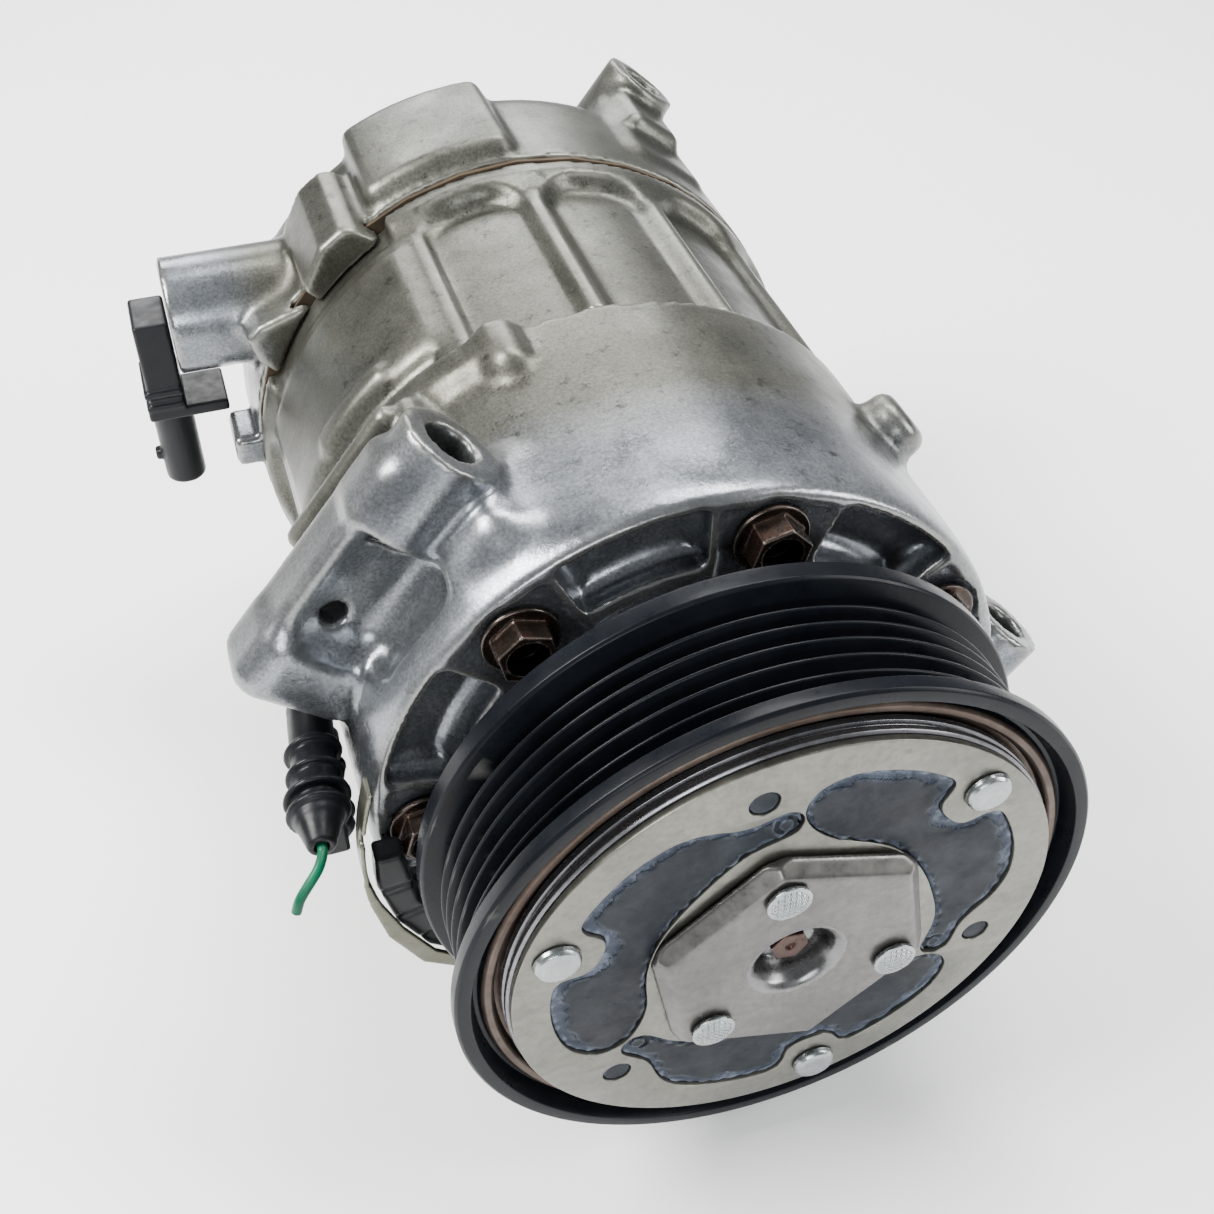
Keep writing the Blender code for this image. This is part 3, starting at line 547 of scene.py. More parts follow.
class Nodes:
    """A Principled material and short ways to wire it."""

    def __init__(self, name, colour, roughness, metallic=0.0, **values):
        self.material = bpy.data.materials.new(name)
        self.material.use_nodes = True
        self.tree = self.material.node_tree
        self.shader = self.tree.nodes["Principled BSDF"]
        self.shader.inputs["Base Color"].default_value = (*colour, 1.0)
        self.shader.inputs["Roughness"].default_value = roughness
        self.shader.inputs["Metallic"].default_value = metallic
        for key, value in values.items():
            self.shader.inputs[key.replace("_", " ")].default_value = value
        self.place = self.node("ShaderNodeTexCoord").outputs["Object"]

    def node(self, kind, **values):
        made = self.tree.nodes.new(kind)
        for key, value in values.items():
            setattr(made, key, value)
        return made

    def link(self, source, target):
        self.tree.links.new(source, target)

    def noise(self, scale, detail=3.0, roughness=0.55, stretch=None):
        made = self.node("ShaderNodeTexNoise")
        made.inputs["Scale"].default_value = scale
        made.inputs["Detail"].default_value = detail
        made.inputs["Roughness"].default_value = roughness
        place = self.place
        if stretch:
            mapping = self.node("ShaderNodeMapping")
            mapping.inputs["Scale"].default_value = stretch
            self.link(place, mapping.inputs["Vector"])
            place = mapping.outputs["Vector"]
        self.link(place, made.inputs["Vector"])
        return made.outputs["Fac"]

    def ramp(self, source, *stops):
        made = self.node("ShaderNodeValToRGB")
        ramp = made.color_ramp
        while len(ramp.elements) < len(stops):
            ramp.elements.new(0.5)
        for element, (place, colour) in zip(ramp.elements, stops):
            element.position = place
            element.color = (*colour, 1.0) if hasattr(colour, "__len__") else (colour, colour, colour, 1.0)
        self.link(source, made.inputs["Fac"])
        return made.outputs["Color"]

    def mix(self, share, a, b, blend="MIX"):
        made = self.node("ShaderNodeMix", data_type="RGBA", blend_type=blend)
        for socket, value in (("Factor", share), ("A", a), ("B", b)):
            target = next(
                i
                for i in made.inputs if i.name == socket and (i.type == "RGBA") == (socket != "Factor")
            )
            if isinstance(value, (float, int)):
                target.default_value = value if socket == "Factor" else (value, value, value, 1.0)
            elif hasattr(value, "is_linked"):
                self.link(value, target)
            else:
                target.default_value = (*value, 1.0)
        return next(o for o in made.outputs if o.type == "RGBA")

    def spread(self, source, low, high, to_low, to_high):
        made = self.node("ShaderNodeMapRange")
        for socket, value in zip(
            ("From Min", "From Max", "To Min", "To Max"), (low, high, to_low, to_high)
        ):
            made.inputs[socket].default_value = value
        self.link(source, made.inputs["Value"])
        return made.outputs["Result"]

    def math(self, operation, a, b=0.0):
        made = self.node("ShaderNodeMath", operation=operation)
        for socket, value in zip(made.inputs, (a, b)):
            if isinstance(value, (float, int)):
                socket.default_value = value
            else:
                self.link(value, socket)
        return made.outputs["Value"]

    def edge_wear_and_hollow_shade(self):
        """How convex the surface is, from 0 in hollows to 1 on worn edges; it serves both wear on edges and
        painted shade in hollows.
        """
        return self.node("ShaderNodeNewGeometry").outputs["Pointiness"]

    def veil(self, mask, strength, under, over):
        """One colour over another where the mask is white, at no more than this strength."""
        return self.mix(self.math("MULTIPLY", mask, strength), under, over)

    def colour(self, source):
        self.link(source, self.shader.inputs["Base Color"])

    def rough(self, source):
        self.link(source, self.shader.inputs["Roughness"])

    def uneven(self, source, low, high):
        """Roughness that wanders between two values."""
        self.rough(self.spread(source, 0.3, 0.7, low, high))

    def bump(self, source, distance_mm, strength=1.0):
        made = self.node("ShaderNodeBump")
        made.inputs["Distance"].default_value = distance_mm * MM
        made.inputs["Strength"].default_value = strength
        self.link(source, made.inputs["Height"])
        old = self.shader.inputs["Normal"]
        if old.is_linked:
            self.link(old.links[0].from_socket, made.inputs["Normal"])
        self.link(made.outputs["Normal"], old)


def cast_aluminium(name, dark, light, roughness, grain=0.035, stain=0.8, gloss_and_lift_zone=None):
    """Shot-blasted casting: a fine sparkling grain over broad mottling, stained in patches and worn on
    its edges.

    Given a zone as (axis, from, to) in metres, the metal turns smoother below that place along the axis,
    and bluer and lighter there: partly the look of smoother metal, partly painted light lifting shaded
    faces.
    """
    m = Nodes(name, light, roughness, 0.82)
    base = m.ramp(m.noise(34, 6, 0.66), (0.30, dark), (0.70, light))
    warm = m.ramp(m.noise(14, 3, 0.5), (0.42, 0.0), (0.62, 1.0))
    base = m.veil(warm, 0.35, base, (light[0] * 0.80, light[1] * 0.78, light[2] * 0.66))
    gloss = None
    if gloss_and_lift_zone:
        axis, start, end = gloss_and_lift_zone
        split = m.node("ShaderNodeSeparateXYZ")
        m.link(m.place, split.inputs["Vector"])
        ragged = m.math("MULTIPLY", m.math("SUBTRACT", m.noise(30, 3, 0.6), 0.5), end - start)
        gloss = m.spread(m.math("ADD", split.outputs[axis], ragged), start, end, 1.0, 0.0)
        # Bluer, lighter colour in the zone: partly smoother metal, partly painted light lifting faces in
        # shade.
        lifted_blue = m.ramp(m.noise(60, 5, 0.6), (0.3, (0.105, 0.115, 0.128)), (0.7, (0.235, 0.25, 0.268)))
        base = m.mix(gloss, base, lifted_blue)
    patches = m.ramp(m.noise(11, 3, 0.5), (0.50, 0.0), (0.62, 1.0))
    specks = m.ramp(m.noise(300, 5, 0.75), (0.57, 0.0), (0.66, 1.0))
    marks = m.math("MULTIPLY", m.math("MULTIPLY", patches, specks), stain)
    base = m.mix(marks, base, scaled(dark, 0.25))
    sparkle = m.ramp(m.noise(1700, 2, 0.6), (0.36, 0.80), (0.70, 1.35))
    base = m.mix(1.0, base, sparkle, "MULTIPLY")
    worn = m.ramp(m.edge_wear_and_hollow_shade(), (0.505, 0.0), (0.57, 1.0))
    base = m.veil(worn, 0.7, base, scaled(light, 2.3))
    # Darker in hollows and creases: painted shade, kept off the gloss zone.
    painted_crevice_shade = m.ramp(m.edge_wear_and_hollow_shade(), (0.42, 1.0), (0.49, 0.0))
    painted_crevice_shade = m.math("MULTIPLY", painted_crevice_shade, 0.30)
    if gloss is not None:
        painted_crevice_shade = m.math("MULTIPLY", painted_crevice_shade, m.math("SUBTRACT", 1.0, gloss))
    m.colour(m.mix(painted_crevice_shade, base, scaled(dark, 0.5)))
    gritty = m.spread(m.noise(80, 5, 0.65), 0.3, 0.7, roughness - 0.08, roughness + 0.12)
    if gloss is not None:
        gritty = m.math("SUBTRACT", gritty, m.math("MULTIPLY", gloss, 0.12))
    m.rough(gritty)
    m.bump(m.noise(1000, 4, 0.7), grain)
    m.bump(m.noise(130, 3, 0.6), 0.10, 0.6)
    return m.material


def plate_steel(name, dark, light, roughness, scratch=1.0):
    m = Nodes(name, light, roughness, 0.85)
    base = m.ramp(m.noise(45, 4, 0.6), (0.3, dark), (0.7, light))
    fine = m.ramp(m.noise(700, 3, 0.7), (0.35, 0.88), (0.65, 1.1))
    base = m.mix(1.0, base, fine, "MULTIPLY")
    stains = m.ramp(m.noise(160, 5, 0.75), (0.60, 0.0), (0.68, 1.0))
    base = m.veil(stains, 0.35, base, scaled(dark, 0.5))
    m.colour(base)
    m.uneven(m.noise(220, 4, 0.7), roughness - 0.08, roughness + 0.12)
    m.bump(m.noise(1100, 3, 0.7, (1.0, 1.0, 0.25)), 0.012, scratch)
    return m.material


def bright_metal(name, colour, roughness, metallic=1.0, grain=0.01):
    m = Nodes(name, colour, roughness, metallic)
    m.colour(m.ramp(m.noise(300, 4, 0.7), (0.3, scaled(colour, 0.8)), (0.7, scaled(colour, 1.1))))
    m.uneven(m.noise(500, 4, 0.7), roughness - 0.06, roughness + 0.12)
    m.bump(m.noise(900, 3, 0.7), grain)
    return m.material


def rusty_bolt(name, steel, rust, share, gloss=0.3):
    m = Nodes(name, steel, gloss, 0.85)
    patches = m.ramp(m.noise(260, 5, 0.7), (share, 0.0), (share + 0.14, 1.0))
    base = m.mix(patches, m.ramp(m.noise(700, 3), (0.3, scaled(steel, 0.6)), (0.7, steel)), rust)
    worn = m.ramp(m.edge_wear_and_hollow_shade(), (0.52, 0.0), (0.60, 1.0))
    m.colour(m.veil(worn, 0.5, base, (0.32, 0.29, 0.27)))
    m.rough(m.spread(patches, 0.0, 1.0, gloss, gloss + 0.25))
    m.bump(m.noise(900, 4, 0.7), 0.03)
    return m.material


def black_paint(name):
    m = Nodes(
        name, (0.004, 0.005, 0.007), 0.3, 0.0, Specular_IOR_Level=0.09, Coat_Weight=0.02,
        Coat_Roughness=0.12,
    )
    dust = m.ramp(m.noise(55, 5, 0.7), (0.35, (0.0022, 0.003, 0.0045)), (0.8, (0.007, 0.0085, 0.011)))
    fine = m.ramp(m.noise(1300, 3, 0.7), (0.70, 0.0), (0.78, 1.0))
    worn = m.ramp(m.edge_wear_and_hollow_shade(), (0.54, 0.0), (0.64, 1.0))
    base = m.veil(fine, 0.25, dust, (0.04, 0.043, 0.046))
    m.colour(m.veil(worn, 0.30, base, (0.16, 0.16, 0.15)))
    m.uneven(m.noise(140, 5, 0.7), 0.22, 0.40)
    m.bump(m.noise(1100, 3, 0.6), 0.006)
    return m.material


def rubber(name, dark, light, dust, share):
    """Slate rubber, dusty pale where it turns over an edge."""
    m = Nodes(name, light, 0.5, Specular_IOR_Level=0.12)
    base = m.ramp(m.noise(60, 5, 0.65), (0.3, dark), (0.7, light))
    dusty = m.ramp(m.edge_wear_and_hollow_shade(), (0.505, 0.0), (0.57, 1.0))
    scuff = m.ramp(m.noise(420, 5, 0.75), (0.42, 0.1), (0.62, 1.0))
    base = m.veil(dusty, scuff, base, dust)
    bloom = m.ramp(m.noise(170, 5, 0.8), (0.50, 0.0), (0.66, 1.0))
    m.colour(m.veil(bloom, share, base, dust))
    m.uneven(m.noise(200, 4, 0.7), 0.36, 0.62)
    m.bump(m.noise(800, 4, 0.7), 0.02)
    return m.material


def plastic(name, colour, roughness=0.42):
    m = Nodes(name, colour, roughness, Specular_IOR_Level=0.2)
    m.colour(m.ramp(m.noise(90, 4, 0.6), (0.3, scaled(colour, 0.7)), (0.7, scaled(colour, 1.4))))
    m.uneven(m.noise(300, 4, 0.6), roughness - 0.08, roughness + 0.12)
    m.bump(m.noise(1200, 3, 0.6), 0.012)
    return m.material


CAST_DARK, CAST_LIGHT = (0.046, 0.047, 0.041), (0.100, 0.100, 0.087)
CASTING = cast_aluminium("cast_body", CAST_DARK, CAST_LIGHT, 0.36)
# Front and rear castings are lighter in their zones: partly smoother metal, partly painted light.
CASTING_FRONT = cast_aluminium("cast_front", CAST_DARK, CAST_LIGHT, 0.36, gloss_and_lift_zone=("Y", 0.054, 0.074))
CASTING_REAR = cast_aluminium("cast_rear", CAST_DARK, CAST_LIGHT, 0.36, gloss_and_lift_zone=("X", -0.066, -0.054))
MACHINED = bright_metal("machined_aluminium", (0.38, 0.37, 0.34), 0.32)
STEEL = bright_metal("ground_steel", (0.45, 0.45, 0.45), 0.28)
POLISHED = bright_metal("polished_steel", (0.17, 0.17, 0.17), 0.27)
ZINC = bright_metal("zinc_plated", (0.30, 0.325, 0.325), 0.24, 0.95, 0.02)
YELLOW_ZINC = bright_metal("pale_yellow_zinc", (0.13, 0.13, 0.10), 0.30, 0.95, 0.02)
DRIVE_STEEL = plate_steel("drive_plate_steel", (0.125, 0.125, 0.108), (0.185, 0.182, 0.158), 0.34)
HUB_STEEL = plate_steel("hub_steel", (0.080, 0.077, 0.072), (0.150, 0.144, 0.134), 0.32)
FRICTION = plate_steel("friction_face", (0.045, 0.030, 0.022), (0.11, 0.085, 0.07), 0.42)
RING_STEEL = plate_steel("armature_steel", (0.09, 0.09, 0.095), (0.20, 0.20, 0.215), 0.28)
BOLT_DARK = rusty_bolt("housing_bolt_steel", (0.040, 0.028, 0.022), (0.022, 0.009, 0.005), 0.50, 0.22)
BOLT_BROWN = rusty_bolt("brown_bolt_steel", (0.060, 0.030, 0.022), (0.035, 0.014, 0.009), 0.55)
PAINT = black_paint("black_paint")
RUBBER = rubber("slate_rubber", (0.0055, 0.0068, 0.0095), (0.013, 0.0165, 0.022), (0.11, 0.13, 0.17), 0.06)
DUSTY_RUBBER = rubber(
    "dusty_rubber", (0.016, 0.021, 0.031), (0.042, 0.052, 0.074), (0.20, 0.23, 0.29), 0.42
)
BLACK_PLASTIC = plastic("black_plastic", (0.0045, 0.005, 0.0065), 0.36)
GREEN = plastic("green_insulation", (0.001, 0.075, 0.036), 0.4)
COPPER = bright_metal("varnished_copper", (0.5, 0.2, 0.09), 0.4)
GASKET = plastic("brown_gasket", (0.045, 0.032, 0.020), 0.8)


# Castings.
def pockets_and_seats(casting):
    """The front face between and under the housing bolts: deep round troughs, and flat pads between
    ridges."""
    face = FRONT_FACE_Y
    low, high = (-62, 34, -62), (62, 50, 62)
    middle = BOLT_ANGLE + STEP / 2

    def troughs(x, y, z):
        radius = np.hypot(x, z)
        turn = folded(x, z, middle, STEP)
        across = (np.abs(turn) - 13.6) * radius * math.pi / 180
        plan = rounded(1.6, between(radius, 45.2, 57.2), across)
        return rounded(4.2, plan, between(y, face - 12, face + 6.2))

    casting.cut(troughs, 0.9, low, high)
    casting.cut(
        ring_block(BOLT_ANGLE, STEP, (42.0, 56.4), 10.4, (face - 6, face + 1.0), 0.8), 0.7, low, high
    )
    casting.cut(ring_rods(BOLT_ANGLE, STEP, BOLT_CIRCLE, 7.5, face - 5, face + 1.5, 0.3), 0.4, low, high)


def front_housing():
    c = Casting((-81, 4.2, -62.5), (86, 99, 72), 0.9)
    face = FRONT_FACE_Y
    outline = [
        (0.0, 5.3), (17.5, 5.3), (17.5, 29.0), (21.0, 29.0), (21.0, 34.0), (30.0, 34.2),
        (33.0, face), (57.6, face),
    ]
    outline += [
        (58.6, face + 0.4),
        (59.3, face + 1.4),
        (59.7, face + 3.0),
        (59.9, face + 5.2),
        (BODY_RADIUS, face + 7.5),
    ]
    outline += [(BODY_RADIUS, FRONT_SEAM_Y), (0.0, FRONT_SEAM_Y)]
    c.add(revolved(outline), 0)
    left_ear(c)
    right_ear(c)
    c.add(spoke_rod(37, 75.0, 6.6, 54, 66.4, 3.0), 3.0, (35, 60, 20), (66, 92, 54))
    c.add(ring_block(131.0, 360.0, (54.0, 62.0), 23.0, (91.0, 103), 3.2), 3.4, (-64, 84, 20), (0, 99, 72))
    c.add(spoke_block(108.5, (50, 63.6), 6.6, (86.5, 103), 3.2), 4.2, (-40, 80, 44), (0, 99, 72))
    pockets_and_seats(c)
    cavity = [(0.0, 58.0), (49.0, 58.0), (CRANKCASE_RADIUS, 64.0), (CRANKCASE_RADIUS, 104.0), (0.0, 104.0)]
    c.cut(revolved(cavity), 0.5)
    bores = [(0.0, 0.0), (12.4, 0.0), (12.4, 44.0), (14.3, 44.0), (14.3, 60.0), (0.0, 60.0)]
    c.cut(revolved(bores), 0.3)
    c.cut(ring_rods(BOLT_ANGLE, STEP, BOLT_CIRCLE, BOLT_HOLE, 30, 70), 0.2)
    return cast_object("front_casting", c, CASTING_FRONT, "casing", "cast_aluminium", "front_housing")


def left_ear(c):
    """A drilled boss over a straight rim, with a deep valley beside it and a rounded lug below."""
    low, high = (-82, 42, 8), (-20, 99, 72)
    y = FRONT_EAR_Y
    c.add(ear_block((50, 75.8), (-29, 19.5), (y - 4.4, y + 7.5), 2.2), 4.0, low, high)
    c.add(ear_block((46, 62.0), (8, 25), (48.0, y + 5), 4.5), 7.0, low, high)
    c.add(ear_block((54, 75.0), (-29.8, -15.5), (y - 7.0, y + 7.2), 3.8), 3.4, low, high)
    c.add(ear_block((56, 63.6), (-21, 18), (y + 13, y + 30), 2.6), 3.0, low, high)
    c.add(ear_rod(64.2, y + 18.6, 2.5, -18, 15, 2.0), 1.6, low, high)
    c.add(ear_rod(64.2, y + 26.4, 2.5, -18, 15, 2.0), 1.6, low, high)

    def valley(x, y_, z):
        along, across = along_ears(x, z)
        bottom = np.hypot(np.maximum(np.abs(across - 64.8) - 2.6, 0), y_ - 54.6) - 6.0
        return rounded(3.0, bottom, between(along, -13.0, 9.5))

    c.cut(valley, 3.2, low, high)
    c.add(ear_rod(LEFT_EAR_OFFSET, y, EAR_RADIUS, 9.0, 26.7, 0.5), 3.2, low, high)
    window = ear_point(67.0, -10.0)

    def window_rod(px, py, pz):
        return rounded(0.4, np.hypot(px - window.x, pz - window.z) - 2.3, between(py, 52, y + 4.6))

    c.cut(window_rod, 0.6, low, high)
    c.cut(ear_rod(LEFT_EAR_OFFSET, y, EAR_HOLE, 6.0, 60), 0.3, low, high)


def right_ear(c):
    low, high = (20, 42, -62.5), (86, 99, 30)
    y = FRONT_EAR_Y
    c.add(ear_block((-73.6, -54), (-10, 33), (y - 5.5, y + 6.0), 3.0), 4.0, low, high)
    c.add(ear_rod(RIGHT_EAR_OFFSET, y, EAR_RADIUS, -12.5, 41.0, 0.5), 2.5, low, high)
    c.add(ear_block((-62, -48), (20, 37), (y - 6, y + 7), 3.0), 4.0, low, high)
    c.cut(ear_rod(RIGHT_EAR_OFFSET, y, EAR_HOLE, -30, 60), 0.3, low, high)


def centre_housing():
    """The cylinder block's skin: arched pockets between ribs, and a smooth raised panel on one side."""
    front, rear = FRONT_SEAM_Y + GAP, REAR_SEAM_Y
    c = Casting((-70, front - 2, -63), (63, rear + 2, 69), 1.0)
    outline = [
        (0.0, front), (59.6, front), (59.7, rear - 9), (60.6, rear - 5.5), (61.1, rear - 4.0),
        (61.1, rear), (0.0, rear),
    ]
    c.add(revolved(outline), 0)

    def pockets(x, y, z):
        radius = np.hypot(x, z)
        angle = np.degrees(np.arctan2(z, x))
        turn = (angle - 64.0) % (STEP / 2) - STEP / 4
        across = (np.abs(turn) - 11.0) * radius * math.pi / 180
        plane = rounded(9.0, across, between(y, front - 30, rear - 5.4))
        panel = 28.5 - np.abs((angle - 141.0 + 180) % 360 - 180)
        return np.maximum(rounded(3.0, 56.8 - radius, plane), panel)

    c.cut(pockets, 2.2)
    c.add(ring_block(141.0, 360.0, (52, 60.2), 23.0, (front + 9.0, rear - 12.0), 2.0), 3.0)
    c.cut(ring_block(140.0, 360.0, (58.2, 70), 21.0, (front - 8, front + 7.6), 2.0), 0.8)
    c.add(ring_block(139.0, 360.0, (52, 61.8), 10.0, (front + 8.6, front + 14.0), 1.8), 1.6)
    c.cut(ring_block(139.0, 360.0, (58.9, 75), 20.4, (145.0, 165), 1.2), 1.2)
    c.cut(tube(0.0, CRANKCASE_RADIUS, front - 4, BLOCK_Y), 0.4)
    c.cut(ring_rods(BOLT_ANGLE + STEP / 2, STEP, PITCH_RADIUS, BORE_RADIUS, BLOCK_Y - 4, rear + 5), 0.2)
    c.cut(tube(0.0, 12.5, BLOCK_Y - 4, BLOCK_Y + 24), 0.2)
    c.cut(ring_rods(BOLT_ANGLE, STEP, BOLT_CIRCLE, BOLT_HOLE, front - 5, rear + 5), 0.2)
    return cast_object("centre_casting", c, CASTING, "casing", "cast_aluminium", "centre_housing")


UPPER_TAB = [
    (-43.0, 51.1), (-38.1, 54.7), (-35.5, 54.5), (-30.5, 51.1), (-27.0, 42.0), (-40.0, 34.0), (-47.5, 42.5)
]
LOWER_TAB = [
    (-60.3, 31.6), (-57.4, 34.2), (-51.9, 36.2), (-43.5, 38.5), (-42.0, 30.0), (-54.9, 22.0), (-58.5, 25.8)
]


def valve_rod(low, high, radius):
    """A round bar across the shaft, on the control valve's axis."""

    def shape(x, y, z):
        return rounded(0.7, np.hypot(y - VALVE_Y, z - VALVE_Z) - radius, between(x, low, high))

    return shape


def rear_head():
    seam, end = REAR_SEAM_Y + 1.6, HEAD_END_Y
    c = Casting((-78, seam - 8, -64), (64, 206, 72), 0.9)
    outline = [
        (0.0, seam + 2.9), (56.4, seam + 2.9), (56.4, seam), (HEAD_RADIUS, seam), (HEAD_RADIUS, end - 9.5)
    ]
    outline += [
        (61.0, end - 6.5), (59.6, end - 3.8), (57.2, end - 1.6), (53.8, end - 0.3), (51.0, end), (0.0, end)
    ]
    c.add(revolved(outline), 0)
    c.add(ring_block(104.5, 360.0, (50, 65.2), 15.0, (seam + 2, end - 2.0), 3.0), 3.0)
    c.add(drawn(UPPER_TAB, 148.4, end - 14, 1.2), 2.0, (-60, 146, 20), (-10, 190, 70))
    c.add(drawn(LOWER_TAB, 150.4, end - 8, 1.2), 2.0, (-75, 146, 10), (-30, 190, 50))
    c.cut(tube(0.0, 59.3, 140.0, seam - 0.4), 0.2)
    c.cut(tube(0.0, HEAD_RADIUS, seam - 2.0, seam - 0.3), 0.1)
    c.add(ring_block(179.0, 360.0, (50, 67.0), 3.2, (seam - 1, seam + 12), 1.4), 1.6)
    c.add(ear_block((-8.5, 12.0), (40, 62.0), (seam + 8, REAR_EAR_Y - 4), 2.5), 3.5)
    c.add(ear_block((-4.0, 10.5), (44, 66.0), (end - 16, REAR_EAR_Y), 2.5), 3.0)
    c.add(ear_rod(REAR_EAR_OFFSET, REAR_EAR_Y, EAR_RADIUS, 30.0, 69.0, 0.5), 3.0)
    c.add(valve_rod(VALVE_BOSS_END_X, -34.0, 12.5), 2.5)
    c.cut(tube(29.0, 43.5, seam - 4, end - 8), 0.2)
    c.cut(tube(0.0, 24.0, seam - 4, end - 8), 0.2)
    c.cut(tube(0.0, 56.4, seam - 4, seam + 2.9), 0.2)
    c.cut(ring_rods(BOLT_ANGLE, STEP, BOLT_CIRCLE, BOLT_HOLE, seam - 5, seam + 24), 0.2)
    c.cut(valve_rod(-90, -45, 8.8), 0.3)
    c.cut(ear_rod(REAR_EAR_OFFSET, REAR_EAR_Y, EAR_HOLE, 25, 90), 0.3)
    for angle, circle_radius, radius in (SUCTION_PORT, DISCHARGE_PORT, RELIEF_PORT):
        c.cut(shaft_rod(angle, circle_radius, radius, end - 12, end + 5), 0.3)
    rear_face(c)
    return cast_object("rear_casting", c, CASTING_REAR, "casing", "cast_aluminium", "rear_head")


def rear_face(c):
    """Shallow cast pockets between ribs, ground pads round the ports and the tapped hole between them."""
    end = HEAD_END_Y

    def pockets(x, y, z):
        radius = np.hypot(x, z)
        turn = folded(x, z, 255.0, 360.0)
        turn = np.abs(turn) % 40.0 - 20.0
        across = (np.abs(turn) - 17.0) * np.maximum(radius, 8.0) * math.pi / 180
        plan = rounded(3.0, across, between(radius, 22.5, 50.0))
        pads = 0.0
        for angle, reach, size in (SUCTION_PORT, DISCHARGE_PORT, RELIEF_PORT):
            centre = spoke(angle, reach)
            pads = np.maximum(pads, size + 5.5 - np.hypot(x - centre.x, z - centre.z))
        arm = 9.0 - np.hypot(x - 39.0, z - 42.0) * 0.45
        return np.maximum(rounded(1.0, plan, end - 1.1 - y), np.maximum(pads, arm))

    c.cut(pockets, 0.9, (-60, end - 4, -60), (60, end + 3, 60))
    c.cut(shaft_rod(193.0, 22.6, 2.6, end - 6.0, end + 5, 0.3), 0.2)
    for angle, reach, size in (SUCTION_PORT, DISCHARGE_PORT):
        c.cut(shaft_rod(angle, reach, size + 1.1, end - 1.6, end + 5, 0.3), 0.2)


# Clutch and pulley.
def pulley_outline():
    """The section of the pulley, with round-bottomed belt grooves and a dished front face."""
    outline = [(52.4, 0.0), (54.5, 0.0), (55.0, 0.5), (55.0, 2.8), (52.6, 3.9)]
    for groove in range(GROOVES):
        centre = FIRST_GROOVE_Y + GROOVE_PITCH * groove
        outline += [
            (49.1, centre - 0.62), (48.5, centre - 0.25), (48.5, centre + 0.25), (49.1, centre + 0.62)
        ]
        if groove < GROOVES - 1:
            tip = centre + GROOVE_PITCH / 2
            outline += [(51.7, tip - 0.34), (51.95, tip - 0.14), (51.95, tip + 0.14), (51.7, tip + 0.34)]
    outline += [(52.6, 25.0), (54.0, 25.4), (54.45, 25.9), (54.45, 29.1), (53.6, 30.0), (46.2, 30.0)]
    outline += [(46.2, 8.9), (28.9, 8.9), (28.9, 28.4), (25.3, 28.4), (25.3, 8.3), (23.4, 8.3), (23.4, 3.8)]
    outline += [
        (47.9, 3.8), (48.2, 2.3), (48.7, 1.9), (49.7, 1.9), (50.2, 2.4), (50.5, 3.6), (51.3, 3.6),
        (51.9, 1.6),
    ]
    return outline


def pulley():
    made = turned_object(
        "pulley_wheel", pulley_outline(), PAINT, "pulley_assembly", ["pulley"], 192,
        soft=0.16,
    )
    finish_faces(made, FRICTION, lambda x, y, z: 20.0 < math.hypot(x, z) < 50.3 and y < 3.9)
    return made


def window_points(angle):
    """The outline of one window in the drive plate: a notched lobe with a blunt tail."""
    points = [
        (40.0, 12), (40.2, 20), (40.2, 28), (40.0, 35), (39.4, 40), (38.0, 44.6), (36.2, 47.2),
        (34.0, 48.6), (31.6, 48.2),
    ]
    points += [
        (29.2, 46.0), (27.2, 42.3), (25.8, 38), (24.8, 32), (24.4, 24), (24.4, 12), (24.4, 0),
        (24.5, -12), (24.8, -24),
    ]
    points += [
        (25.4, -34), (26.4, -43), (27.4, -51), (27.9, -58), (28.2, -64), (28.9, -68.8),
        (30.8, -71.2), (33.0, -70.2),
    ]
    points += [
        (34.3, -66.6), (34.0, -61.6), (33.9, -57), (34.8, -52.6), (36.6, -48.4), (38.4, -43.6),
        (39.6, -38), (40.2, -30),
    ]
    points += [
        (40.3, -22), (40.3, -14), (39.7, -10.2), (38.0, -8.2), (36.0, -7.4), (34.4, -6.2),
        (33.5, -3.2), (33.4, 0.6),
    ]
    points += [(33.9, 4.4), (35.2, 6.8), (37.2, 7.8), (39.0, 8.8)]
    made = []
    for radius, turn in points:
        place = spoke(turn + angle, radius)
        made.append((place.x, place.z))
    return smooth_loop(made, 4)


def ring_of_circles(first, count, circle_radius, radius, sides=40):
    places = [spoke(first + 360.0 / count * i, circle_radius) for i in range(count)]
    return [circle(radius, (place.x, place.z), sides) for place in places]


def drive_plate():
    loops = [circle(DRIVE_PLATE_RADIUS, count=180), circle(14.0, count=72)]
    loops += [window_points(WINDOW_ANGLE + THIRD * i) for i in range(3)]
    loops += ring_of_circles(HUB_ANGLE, 3, HUB_RIVET_RADIUS, 2.6)
    loops += ring_of_circles(HUB_ANGLE, 3, PLATE_HOLE_RADIUS, 2.5)
    loops += ring_of_circles(WINDOW_ANGLE, 3, PLATE_RIVET_RADIUS, 2.5)
    low = DRIVE_PLATE_Y
    return plate_object(
        "drive_plate_face",
        loops,
        low,
        low + DRIVE_PLATE_THICKNESS,
        0.22,
        DRIVE_STEEL,
        "armature",
        ["drive_plate"],
    )


